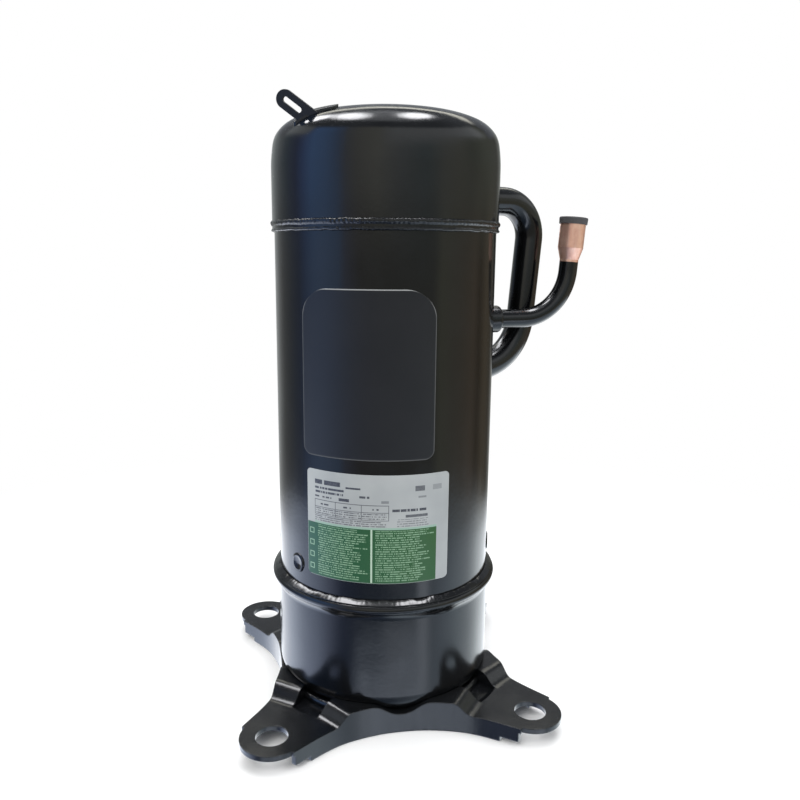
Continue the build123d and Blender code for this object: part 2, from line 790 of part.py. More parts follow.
@piece
def terminal_pins():
    with BuildPart() as pins:
        with BuildSketch(TERMINAL_PLANE.offset(-11)):
            with Locations(*TERMINAL_PINS):
                Circle(TERMINAL_PIN_RADIUS)
        extrude(amount=30)
    return pins.part


@piece
def terminal_stud():
    """Stud on the body that holds the cover, with a wider foot."""
    with BuildPart() as stud:
        with BuildSketch(back_plane(BODY_RADIUS, STUD_Z)):
            Circle(STUD_RADIUS)
        extrude(amount=36)
        with BuildSketch(back_plane(BODY_RADIUS - 0.2, STUD_Z)):
            Circle(4.2)
        extrude(amount=1.4)
        add(shell_fill, mode=Mode.SUBTRACT)
    return stud.part


@piece
def terminal_gasket():
    with BuildPart() as gasket:
        with BuildSketch(COVER_PLANE):
            RectangleRounded(45, 66, 8)
            RectangleRounded(38.5, 59.5, 5, mode=Mode.SUBTRACT)
        extrude(amount=12.2)
        add(shell_fill, mode=Mode.SUBTRACT)
    return gasket.part


@piece
def terminal_cover():
    with BuildPart() as cover:
        with BuildSketch(COVER_PLANE.offset(12.25)):
            RectangleRounded(47, 68, 9)
        extrude(amount=26, taper=COVER_TAPER)
        fillet(cover.faces().sort_by(Axis.Y)[-1].edges(), radius=4)
        with BuildSketch(COVER_PLANE.offset(12.0)):
            RectangleRounded(42.6, 63.6, 7)
        extrude(amount=23.7, taper=COVER_TAPER, mode=Mode.SUBTRACT)
        # boss and hole for the stud
        with BuildSketch(back_plane(72, STUD_Z)):
            Circle(6.2)
        extrude(amount=24.3)
        with BuildSketch(back_plane(60, STUD_Z)):
            Circle(STUD_RADIUS + 0.3)
        extrude(amount=50, mode=Mode.SUBTRACT)
        # notch in the lower wall
        with BuildSketch(back_plane(60, TERMINAL_Z - 28.0)):
            Rectangle(13, 14)
        extrude(amount=23, mode=Mode.SUBTRACT)
    return cover.part


@piece
def terminal_nut():
    with BuildPart() as nut:
        with BuildSketch(back_plane(98.3, STUD_Z)):
            RegularPolygon(radius=5.0, side_count=6)
            Circle(STUD_RADIUS, mode=Mode.SUBTRACT)
        extrude(amount=4.0)
    return nut.part


# ---------------------------------------------------------------------------
# Rating label and blank plate, thin wraps on the body
# ---------------------------------------------------------------------------
def thin_wrap(azimuths, heights, thickness, top_corner, bottom_corner):
    """Sheet wrapped on the body between two azimuths and two heights."""
    start, end = azimuths
    bottom, top = heights
    width = 2 * (BODY_RADIUS + 0.1) * sin(radians((end - start) / 2))
    with BuildPart() as wrap:
        with BuildSketch(Plane.XY.offset(bottom - 1)):
            Circle(BODY_RADIUS + thickness)
            Circle(BODY_RADIUS, mode=Mode.SUBTRACT)
        extrude(amount=top - bottom + 2)
        with BuildSketch(outward_plane((start + end) / 2, 0, (bottom + top) / 2)):
            Rectangle(width, top - bottom)
            fillet(vertices().group_by(Axis.Y)[-1], radius=top_corner)
            fillet(vertices().group_by(Axis.Y)[0], radius=bottom_corner)
        extrude(amount=90, mode=Mode.INTERSECT)
    return wrap.part


@piece
def rating_label():
    return thin_wrap(azimuths=(-51.0, 24.0), heights=(FOOT_TOP + 86.2, FOOT_TOP + 153.5),
                     thickness=0.15, top_corner=2.5, bottom_corner=2.5)


@piece
def blank_plate():
    return thin_wrap(azimuths=(-53.2, 15.2), heights=(FOOT_TOP + 162.0, FOOT_TOP + 260.7),
                     thickness=0.25, top_corner=17, bottom_corner=5.5)


# ---------------------------------------------------------------------------
# Main frame
# ---------------------------------------------------------------------------
BOLT_CIRCLE = 61.6
BOLT_RADIUS = 3.0
BOLT_POINTS = [at_azimuth(SUCTION.azimuth + 30 + 60 * k, BOLT_CIRCLE) for k in range(6)]


def bush(bottom, height, radius, bore, y=0.0):
    """Plain ring, its centre shifted along Y."""
    with BuildPart() as ring:
        with BuildSketch(Plane.XY.offset(bottom)):
            with Locations((0, y)):
                Circle(radius)
                Circle(bore, mode=Mode.SUBTRACT)
        extrude(amount=height)
    return ring.part


@piece
def main_frame():
    underside = 249.0
    ring_floor = 258.0          # floor of the groove that holds the Oldham ring
    with BuildPart() as frame:
        add(turned([(MAIN_BUSH_RADIUS, 226.0), (20.0, 226.0), (21.0, 244.0),
                    (40.0, underside), (FRAME_RADIUS, underside), (FRAME_RADIUS, FRAME_TOP),
                    (FRAME_RECESS_RADIUS, FRAME_TOP), (FRAME_RECESS_RADIUS, THRUST_Z),
                    (51.2, THRUST_Z), (51.2, ring_floor), (33.2, ring_floor),
                    (33.2, THRUST_Z), (19.6, THRUST_Z), (19.6, 248.4),
                    (MAIN_BUSH_RADIUS, 248.4)]))
        # slots for the ring's lower keys
        with BuildSketch(Plane.XY.offset(253.6)):
            with Locations((KEY_RADIUS, 0), (-KEY_RADIUS, 0)):
                Rectangle(19.2, 8.06)
        extrude(amount=4.5, mode=Mode.SUBTRACT)
        # threaded holes
        with BuildSketch(Plane.XY.offset(256)):
            with Locations(*BOLT_POINTS):
                Circle(BOLT_RADIUS)
        extrude(amount=20, mode=Mode.SUBTRACT)
        # oil return passages
        with BuildSketch(Plane.XY.offset(240)):
            with PolarLocations(54.2, 4, start_angle=20):
                Circle(1.8)
        extrude(amount=30, mode=Mode.SUBTRACT)
    return frame.part


@piece
def main_bearing_bush():
    return bush(226.5, 21.5, MAIN_BUSH_RADIUS, MAIN_JOURNAL + CLEARANCE)


# ---------------------------------------------------------------------------
# Scroll wraps
# ---------------------------------------------------------------------------
WRAP_START, WRAP_END = 3.15, 18.0           # involute angles, in radians
WRAP_HALF_ANGLE = WRAP_T / (2 * BASE_CIRCLE)
# half angle and the trims off the wrap's start and end, in radians
SEAL_GROOVE = (0.30, 0.50, 0.40)
TIP_SEAL = (0.28, 0.52, 0.42)
INVOLUTE_STEPS = 64


def involute(offset, start, end, turn, y_shift):
    """Points of an involute of the base circle, turned about the origin, then shifted."""
    points = []
    for i in range(INVOLUTE_STEPS + 1):
        angle = start + (end - start) * i / INVOLUTE_STEPS
        x = BASE_CIRCLE * (cos(angle) + (angle - offset) * sin(angle))
        y = BASE_CIRCLE * (sin(angle) - (angle - offset) * cos(angle))
        points.append((x * cos(turn) - y * sin(turn),
                       x * sin(turn) + y * cos(turn) + y_shift))
    return points


def wrap_outline(half_angle, start_trim=0.0, end_trim=0.0, orbiting=False):
    """Draw a wrap's closed outline, for the fixed or the orbiting scroll."""
    turn, y_shift = (pi, ORBIT) if orbiting else (0.0, 0.0)
    start, end = WRAP_START + start_trim, WRAP_END - end_trim
    outer = involute(-half_angle, start, end, turn, y_shift)
    inner = involute(half_angle, start, end, turn, y_shift)
    Spline(*outer)
    Line(outer[-1], inner[-1])
    Spline(*reversed(inner))
    Line(inner[0], outer[0])


def tip_seal(bottom, height, orbiting):
    with BuildPart() as seal:
        with BuildSketch(Plane.XY.offset(bottom)):
            with BuildLine():
                wrap_outline(*TIP_SEAL, orbiting=orbiting)
            make_face()
        extrude(amount=height)
    return seal.part


# ---------------------------------------------------------------------------
# Fixed scroll and discharge valve
# ---------------------------------------------------------------------------
SCREW_X = 15.5              # valve guide screws, either side of the port
SCREW_POINTS = [(SCREW_X, 0), (-SCREW_X, 0)]
SCREW_RADIUS = 2.0
GUIDE_RADIUS = 10.6
GUIDE_H = 3.9               # guide's height up to its perforated top


@piece
def fixed_scroll():
    flange_bottom = FRAME_TOP + 0.05
    bore, base_radius = 55.5, 58.5
    with BuildPart() as scroll:
        # flange, neck and base
        with BuildSketch(Plane.XY.offset(flange_bottom)):
            Circle(FRAME_RADIUS)
            Circle(bore, mode=Mode.SUBTRACT)
        extrude(amount=FLANGE_TOP - flange_bottom)
        with BuildSketch(Plane.XY.offset(FLANGE_TOP)):
            Circle(base_radius)
            Circle(bore, mode=Mode.SUBTRACT)
        extrude(amount=FIXED_BASE - FLANGE_TOP + 0.01)
        with BuildSketch(Plane.XY.offset(FIXED_BASE)):
            Circle(base_radius)
        extrude(amount=FIXED_TOP - FIXED_BASE)
        with BuildSketch(Plane.XY.offset(WRAP_FOOT + TIP_GAP)):
            with BuildLine():
                wrap_outline(WRAP_HALF_ANGLE)
            make_face()
        extrude(amount=FIXED_BASE - WRAP_FOOT)
        # groove for the tip seal
        with BuildSketch(Plane.XY.offset(WRAP_FOOT)):
            with BuildLine():
                wrap_outline(*SEAL_GROOVE)
            make_face()
        extrude(amount=1.6, mode=Mode.SUBTRACT)
        # discharge port
        with BuildSketch(Plane.XY.offset(FIXED_BASE - 1)):
            Circle(4.2)
        extrude(amount=20, mode=Mode.SUBTRACT)
        # bolt holes and seats for the bolt heads
        with BuildSketch(Plane.XY.offset(270)):
            with Locations(*BOLT_POINTS):
                Circle(BOLT_RADIUS + 0.3)
        extrude(amount=30, mode=Mode.SUBTRACT)
        with BuildSketch(Plane.XY.offset(FLANGE_TOP)):
            with Locations(*BOLT_POINTS):
                Circle(5.4)
        extrude(amount=20, mode=Mode.SUBTRACT)
        # suction inlet: socket for the pipe, then a narrower hole into the bore
        for radius, depth in ((SUCTION.radius + PORT_CLEARANCE, 11.5), (6.6, 17.0)):
            with BuildSketch(outward_plane(SUCTION.azimuth, 70.0, SUCTION_Z)):
                Circle(radius)
            extrude(amount=-depth, mode=Mode.SUBTRACT)
        # threaded holes for the valve guide
        with BuildSketch(Plane.XY.offset(FIXED_TOP - 6)):
            with Locations(*SCREW_POINTS):
                Circle(SCREW_RADIUS)
        extrude(amount=10, mode=Mode.SUBTRACT)
    return scroll.part


@piece
def fixed_tip_seal():
    return tip_seal(WRAP_FOOT + 0.03, 1.5, orbiting=False)


@piece
def scroll_bolts():
    """Bolts with hexagonal sockets, fixed scroll to main frame."""
    bolt_bottom, head_radius = 257.5, 4.9
    with BuildPart() as bolts:
        with BuildSketch(Plane.XY.offset(bolt_bottom)):
            with Locations(*BOLT_POINTS):
                Circle(BOLT_RADIUS)
        extrude(amount=FLANGE_TOP - bolt_bottom)
        with BuildSketch(Plane.XY.offset(FLANGE_TOP)):
            with Locations(*BOLT_POINTS):
                Circle(head_radius)
                RegularPolygon(radius=2.9, side_count=6, mode=Mode.SUBTRACT)
        extrude(amount=6.0)
        # floor of the sockets
        with BuildSketch(Plane.XY.offset(FLANGE_TOP)):
            with Locations(*BOLT_POINTS):
                Circle(head_radius)
        extrude(amount=2.6)
    return bolts.part


@piece
def valve_disc():
    """Floating disc over the discharge port."""
    with BuildPart() as disc:
        with BuildSketch(Plane.XY.offset(FIXED_TOP + 0.02)):
            Circle(7.2)
        extrude(amount=1.2)
    return disc.part


@piece
def valve_guide():
    ear_radius = 4.6
    with BuildPart() as guide:
        with BuildSketch(Plane.XY.offset(FIXED_TOP)):
            Circle(GUIDE_RADIUS)
            with Locations(*SCREW_POINTS):
                Circle(ear_radius)
            Rectangle(2 * SCREW_X, 2 * ear_radius)
            Circle(7.4, mode=Mode.SUBTRACT)
            with Locations(*SCREW_POINTS):
                Circle(SCREW_RADIUS + 0.2, mode=Mode.SUBTRACT)
        extrude(amount=GUIDE_H)
        # perforated top
        with BuildSketch(Plane.XY.offset(FIXED_TOP + GUIDE_H)):
            Circle(GUIDE_RADIUS)
            with PolarLocations(5.2, 5):
                Circle(1.9, mode=Mode.SUBTRACT)
        extrude(amount=1.8)
        # windows through the front and back
        with BuildSketch(Plane(origin=(0, 0, FIXED_TOP + 1.6), x_dir=(1, 0, 0),
                               z_dir=(0, 1, 0))):
            Rectangle(6.0, 3.2)
        extrude(amount=14, both=True, mode=Mode.SUBTRACT)
    return guide.part


@piece
def valve_screws():
    """Screws with slotted heads."""
    depth = 5.5
    head_bottom = FIXED_TOP + GUIDE_H
    with BuildPart() as screws:
        with BuildSketch(Plane.XY.offset(FIXED_TOP - depth)):
            with Locations(*SCREW_POINTS):
                Circle(SCREW_RADIUS)
        extrude(amount=depth + GUIDE_H)
        with BuildSketch(Plane.XY.offset(head_bottom)):
            with Locations(*SCREW_POINTS):
                Circle(3.6)
        extrude(amount=2.4)
        with BuildSketch(Plane.XY.offset(head_bottom + 1.1)):
            with Locations(*SCREW_POINTS):
                Rectangle(6.0, 0.9)
        extrude(amount=3, mode=Mode.SUBTRACT)
    return screws.part


# ---------------------------------------------------------------------------
# Orbiting scroll, its bush, and the Oldham ring
# ---------------------------------------------------------------------------
@piece
def orbiting_scroll():
    plate_bottom = THRUST_Z + 0.04
    hub_bottom = 251.0
    wrap_top = WRAP_FOOT + WRAP_H
    with BuildPart() as scroll:
        with BuildSketch(Plane.XY.offset(plate_bottom)):
            with Locations((0, ORBIT)):
                Circle(ORBIT_PLATE_RADIUS)
        extrude(amount=WRAP_FOOT - plate_bottom)
        # hub, bored for the bush
        with BuildSketch(Plane.XY.offset(hub_bottom)):
            with Locations((0, ORBIT)):
                Circle(13.0)
        extrude(amount=plate_bottom - hub_bottom)
        with BuildSketch(Plane.XY.offset(hub_bottom - 1)):
            with Locations((0, ORBIT)):
                Circle(PIN_BUSH_RADIUS)
        extrude(amount=13.6, mode=Mode.SUBTRACT)
        # wrap, sunk a little into the plate and ending just short of its full height
        with BuildSketch(Plane.XY.offset(WRAP_FOOT - 0.01)):
            with BuildLine():
                wrap_outline(WRAP_HALF_ANGLE, orbiting=True)
            make_face()
        extrude(amount=WRAP_H + 0.01 - 0.05)
        # groove for the tip seal
        with BuildSketch(Plane.XY.offset(wrap_top - 1.65)):
            with BuildLine():
                wrap_outline(*SEAL_GROOVE, orbiting=True)
            make_face()
        extrude(amount=3, mode=Mode.SUBTRACT)
        # keyways for the ring's upper keys
        with BuildSketch(Plane.XY.offset(THRUST_Z - 0.5)):
            with Locations((0, ORBIT + KEY_RADIUS), (0, ORBIT - KEY_RADIUS)):
                Rectangle(16.9, 19.2)
        extrude(amount=4.6, mode=Mode.SUBTRACT)
    return scroll.part


@piece
def orbiting_tip_seal():
    seal_h = 1.6
    return tip_seal(WRAP_FOOT + WRAP_H - seal_h, seal_h, orbiting=True)


@piece
def orbiting_bush():
    return bush(251.3, 12.0, PIN_BUSH_RADIUS, PIN_RADIUS + CLEARANCE, y=ORBIT)


@piece
def oldham_ring():
    """Ring with upper keys on the Y axis and lower keys on the X axis."""
    ring_bottom, ring_h = 258.1, 5.2
    lower_key_h = 4.2
    upper_keys = [(0, KEY_RADIUS), (0, -KEY_RADIUS)]
    lower_keys = [(KEY_RADIUS, 0), (-KEY_RADIUS, 0)]
    with BuildPart() as ring:
        with BuildSketch(Plane.XY.offset(ring_bottom)):
            Circle(46.4)
            with Locations(*upper_keys):
                Rectangle(8.0, 9.6)
            with Locations(*lower_keys):
                Rectangle(9.2, 8.0)
            Circle(37.8, mode=Mode.SUBTRACT)
        extrude(amount=ring_h)
        with BuildSketch(Plane.XY.offset(ring_bottom + ring_h)):
            with Locations(*upper_keys):
                Rectangle(8.0, 9.6)
        extrude(amount=4.0)
        with BuildSketch(Plane.XY.offset(ring_bottom - lower_key_h)):
            with Locations(*lower_keys):
                Rectangle(9.2, 8.0)
        extrude(amount=lower_key_h)
    return ring.part


# ---------------------------------------------------------------------------
# Crankshaft, rotor and balance weights
# ---------------------------------------------------------------------------
PICKUP_RADIUS = 4.0


@piece
def crankshaft():
    # bottom, height, radius, shift along Y
    steps = [
        (77.2, 29.0, LOWER_JOURNAL, 0),
        (106.0, 116.0, SHAFT_RADIUS, 0),
        (222.0, 3.6, 13.0, 0),
        (225.6, 24.2, MAIN_JOURNAL, 0),
        (249.8, 1.0, 12.8, 0),
        (250.8, 12.2, PIN_RADIUS, ORBIT),
    ]
    with BuildPart() as shaft:
        for bottom, height, radius, y in steps:
            with BuildSketch(Plane.XY.offset(bottom)):
                with Locations((0, y)):
                    Circle(radius)
            extrude(amount=height)
        # oil gallery, and cross holes towards -Y into the two bearings
        with BuildSketch(Plane.XY.offset(70)):
            with Locations((0, 1.2)):
                Circle(2.0)
        extrude(amount=200, mode=Mode.SUBTRACT)
        for height, radius in ((238, 1.5), (92, 1.2)):
            with BuildSketch(Plane(origin=(0, 0, height), x_dir=(1, 0, 0), z_dir=(0, -1, 0))):
                Circle(radius)
            extrude(amount=14, mode=Mode.SUBTRACT)
        # counterbore that takes the pick-up tube
        with BuildSketch(Plane.XY.offset(77.0)):
            Circle(PICKUP_RADIUS)
        extrude(amount=8.2, mode=Mode.SUBTRACT)
    return shaft.part


BAR_COUNT = 28
BAR_CIRCLE = 29.6
BAR_RADIUS = 1.9
END_RING_H = 7.0
WEIGHT_GAP = 0.05           # between end rings and balance weights


@piece
def rotor_core():
    with BuildPart() as core:
        with BuildSketch(Plane.XY.offset(STACK_BOTTOM)):
            Circle(ROTOR_RADIUS)
            Circle(SHAFT_RADIUS, mode=Mode.SUBTRACT)
            with PolarLocations(BAR_CIRCLE, BAR_COUNT):
                Circle(BAR_RADIUS, mode=Mode.SUBTRACT)
            with PolarLocations(17.5, 6):
                Circle(3.0, mode=Mode.SUBTRACT)
        extrude(amount=STACK_H)
    return core.part


@piece
def rotor_cage():
    """End rings joined by bars through the core."""
    with BuildPart() as cage:
        for bottom in (STACK_BOTTOM - END_RING_H, STACK_TOP):
            with BuildSketch(Plane.XY.offset(bottom)):
                Circle(33.2)
                Circle(24.0, mode=Mode.SUBTRACT)
            extrude(amount=END_RING_H)
        with BuildSketch(Plane.XY.offset(STACK_BOTTOM - 1)):
            with PolarLocations(BAR_CIRCLE, BAR_COUNT):
                Circle(BAR_RADIUS)
        extrude(amount=STACK_H + 2)
    return cage.part


def balance_weight(bottom, height, radius, bore, hole_x, hole_y, side):
    """Half ring on the +Y (side=1) or -Y (side=-1) half, with two holes."""
    with BuildPart() as weight:
        with BuildSketch(Plane.XY.offset(bottom)):
            Circle(radius)
            Circle(bore, mode=Mode.SUBTRACT)
            with Locations((0, -side * 50.5)):
                Rectangle(200, 100, mode=Mode.SUBTRACT)
            with Locations((hole_x, side * hole_y), (-hole_x, side * hole_y)):
                Circle(2.0, mode=Mode.SUBTRACT)
        extrude(amount=height)
    return weight.part


@piece
def upper_balance_weight():
    """Opposite the crank pin."""
    return balance_weight(STACK_TOP + END_RING_H + WEIGHT_GAP, 15.0, radius=30.5, bore=10.4,
                          hole_x=22, hole_y=12, side=-1)


@piece
def lower_balance_weight():
    """On the crank pin's side."""
    height = 8.0
    return balance_weight(STACK_BOTTOM - END_RING_H - WEIGHT_GAP - height, height,
                          radius=31.5, bore=19.0, hole_x=24, hole_y=11, side=1)


@piece
def oil_pickup_tube():
    """Tube with a flat blade across its lower part."""
    bottom = 12.0
    with BuildPart() as tube:
        with BuildSketch(Plane.XY.offset(bottom)):
            Circle(PICKUP_RADIUS)
            Circle(PICKUP_RADIUS - 1.0, mode=Mode.SUBTRACT)
        extrude(amount=73.0)
        with BuildSketch(Plane.XY.offset(bottom)):
            Rectangle(0.9, 6.6)
        extrude(amount=40.0)
    return tube.part


# ---------------------------------------------------------------------------
# Stator and wiring
# ---------------------------------------------------------------------------
SLOT_COUNT = 24
COIL_H = 15.6               # coil heads above and below the stack
COIL_GAP = 0.4


@piece
def stator_core():
    with BuildPart() as core:
        with BuildSketch(Plane.XY.offset(STACK_BOTTOM)):
            Circle(STATOR_RADIUS)
            Circle(STATOR_BORE, mode=Mode.SUBTRACT)
            # slots and their narrow mouths
            with PolarLocations(45.6, SLOT_COUNT):
                Rectangle(15.2, 5.6, mode=Mode.SUBTRACT)
            with PolarLocations(36.4, SLOT_COUNT):
                Rectangle(6.0, 2.2, mode=Mode.SUBTRACT)
            # flats on the rim let oil and gas past
            with PolarLocations(67.0, 6, start_angle=12):
                Rectangle(5.0, 17.0, mode=Mode.SUBTRACT)
        extrude(amount=STACK_H)
    return core.part


@piece
def stator_coils():
    """Rounded coil heads joined by bars through the slots."""
    with BuildPart() as coils:
        for bottom in (STACK_BOTTOM - COIL_GAP - COIL_H, STACK_TOP + COIL_GAP):
            with BuildSketch(Plane.XY.offset(bottom)):
                Circle(56.5)
                Circle(38.6, mode=Mode.SUBTRACT)
            extrude(amount=COIL_H)
        fillet(coils.edges().filter_by(GeomType.CIRCLE), radius=4.5)
        with BuildSketch(Plane.XY.offset(STACK_BOTTOM - 3.0)):
            with PolarLocations(45.8, SLOT_COUNT):
                Rectangle(13.4, 4.7)
        extrude(amount=STACK_H + 6.0)
    return coils.part


@piece
def thermal_protector():
    """Block on the upper coil head, at the front."""
    with BuildPart() as block:
        with BuildSketch(Plane.XY.offset(STACK_TOP + COIL_GAP + COIL_H + 0.05)):
            with Locations((0, -47.6)):
                RectangleRounded(24, 11, 2)
        extrude(amount=7.0)
    return block.part


@piece
def lead_wires():
    """Wires from the terminal pins down to the upper coil head."""
    wire_y = 52.8
    with BuildPart() as wires:
        for i, (pin_x, pin_y) in enumerate(TERMINAL_PINS):
            x, z = -pin_x, TERMINAL_Z + pin_y
            with BuildLine() as route:
                Spline((x, wire_y, z), (x * 1.3, 50.5, z - 6.0 - 3 * i),
                       (x * 1.6, 48.0, STACK_TOP + 16.2), tangents=((0, -1, 0), (0, 0, -1)))
            with BuildSketch(Plane(origin=(x, wire_y, z), z_dir=(0, -1, 0))):
                Circle(1.5)
            sweep(path=route.line)
    return wires.part


# ---------------------------------------------------------------------------
# Lower bearing and sump
# ---------------------------------------------------------------------------
HUB_FLOOR = 75.6            # floor of the hub's bore


@piece
def lower_bearing_frame():
    """Hub on four arms inside a ring, the arms pointing at the plug welds."""
    frame_bottom = PLUG_Z - 8.0
    with BuildPart() as frame:
        with BuildSketch(Plane.XY.offset(frame_bottom)):
            Circle(FRAME_RADIUS)
            Circle(61.6, mode=Mode.SUBTRACT)
        extrude(amount=14.0)
        with BuildSketch(Plane.XY.offset(frame_bottom)):
            Circle(17.0)
            for azimuth in PLUG_AZIMUTHS:
                arm_middle = (*at_azimuth(azimuth, 39.5), 0)
                with Locations(Location(arm_middle, (0, 0, azimuth - 90))):
                    Rectangle(48.0, 11.0)
        extrude(amount=6.0)
        with BuildSketch(Plane.XY.offset(73.0)):
            Circle(15.0)
        extrude(amount=22.0)
        # bore for bush and thrust plate, and a smaller hole through the floor
        with BuildSketch(Plane.XY.offset(HUB_FLOOR)):
            Circle(LOWER_BUSH_RADIUS)
        extrude(amount=30.0, mode=Mode.SUBTRACT)
        with BuildSketch(Plane.XY.offset(70.0)):
            Circle(6.0)
        extrude(amount=10.0, mode=Mode.SUBTRACT)
    return frame.part


@piece
def lower_bearing_bush():
    return bush(78.6, 16.0, LOWER_BUSH_RADIUS, LOWER_JOURNAL + CLEARANCE)


@piece
def thrust_plate():
    return bush(HUB_FLOOR, 1.58, LOWER_BUSH_RADIUS - 0.1, 5.0)


@piece
def sump_magnet():
    """Disc on the cup's floor."""
    with BuildPart() as magnet:
        with BuildSketch(Plane.XY.offset(CUP_FLOOR + WALL)):
            with Locations((36, 20)):
                Circle(9.0)
        extrude(amount=4.0)
    return magnet.part
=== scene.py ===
import bpy, bmesh, math
from math import sin, cos, pi, radians, degrees, atan2, sqrt, floor
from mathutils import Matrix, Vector, noise


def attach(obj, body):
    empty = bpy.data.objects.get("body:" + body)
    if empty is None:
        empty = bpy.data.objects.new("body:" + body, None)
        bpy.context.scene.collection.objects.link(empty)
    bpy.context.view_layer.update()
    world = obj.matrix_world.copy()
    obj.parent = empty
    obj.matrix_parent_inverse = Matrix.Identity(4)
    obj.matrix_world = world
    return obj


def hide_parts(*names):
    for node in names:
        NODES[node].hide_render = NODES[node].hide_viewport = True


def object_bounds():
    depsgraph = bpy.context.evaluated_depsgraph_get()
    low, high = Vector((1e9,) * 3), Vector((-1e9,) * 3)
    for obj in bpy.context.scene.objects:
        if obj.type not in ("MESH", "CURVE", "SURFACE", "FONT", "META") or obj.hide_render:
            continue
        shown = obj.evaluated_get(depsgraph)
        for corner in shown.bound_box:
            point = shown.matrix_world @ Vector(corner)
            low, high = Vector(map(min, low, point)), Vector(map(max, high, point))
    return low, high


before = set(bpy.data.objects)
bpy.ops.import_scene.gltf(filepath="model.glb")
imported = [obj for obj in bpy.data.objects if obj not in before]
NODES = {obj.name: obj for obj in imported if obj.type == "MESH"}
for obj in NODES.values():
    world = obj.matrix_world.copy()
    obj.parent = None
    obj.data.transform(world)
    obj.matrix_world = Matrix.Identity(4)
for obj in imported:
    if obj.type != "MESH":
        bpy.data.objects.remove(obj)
cad_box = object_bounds()
MM = 0.001
ZT = 3.2
R_BODY = 69.9
CAM_AZ = -9.78            # camera azimuth, degrees from -Y towards +X


# --------------------------------------------------------------------------- node graphs
class S:
    """A value in a node graph, with arithmetic."""
    def __init__(self, g, sock):
        self.g, self.s = g, sock
    def _op(self, kind, other, swap=False):
        a, b = (other, self) if swap else (self, other)
        return self.g.math(kind, a, b)
    def __add__(self, o): return self._op("ADD", o)
    def __radd__(self, o): return self._op("ADD", o, True)
    def __sub__(self, o): return self._op("SUBTRACT", o)
    def __rsub__(self, o): return self._op("SUBTRACT", o, True)
    def __mul__(self, o): return self._op("MULTIPLY", o)
    def __rmul__(self, o): return self._op("MULTIPLY", o, True)
    def __truediv__(self, o): return self._op("DIVIDE", o)
    def gt(self, o): return self._op("GREATER_THAN", o)
    def lt(self, o): return self._op("LESS_THAN", o)
    def mx(self, o): return self._op("MAXIMUM", o)
    def mn(self, o): return self._op("MINIMUM", o)
    def abs(self): return self.g.math("ABSOLUTE", self)
    def floor(self): return self.g.math("FLOOR", self)
    def fract(self): return self.g.math("FRACT", self)
    def inv(self): return 1.0 - self


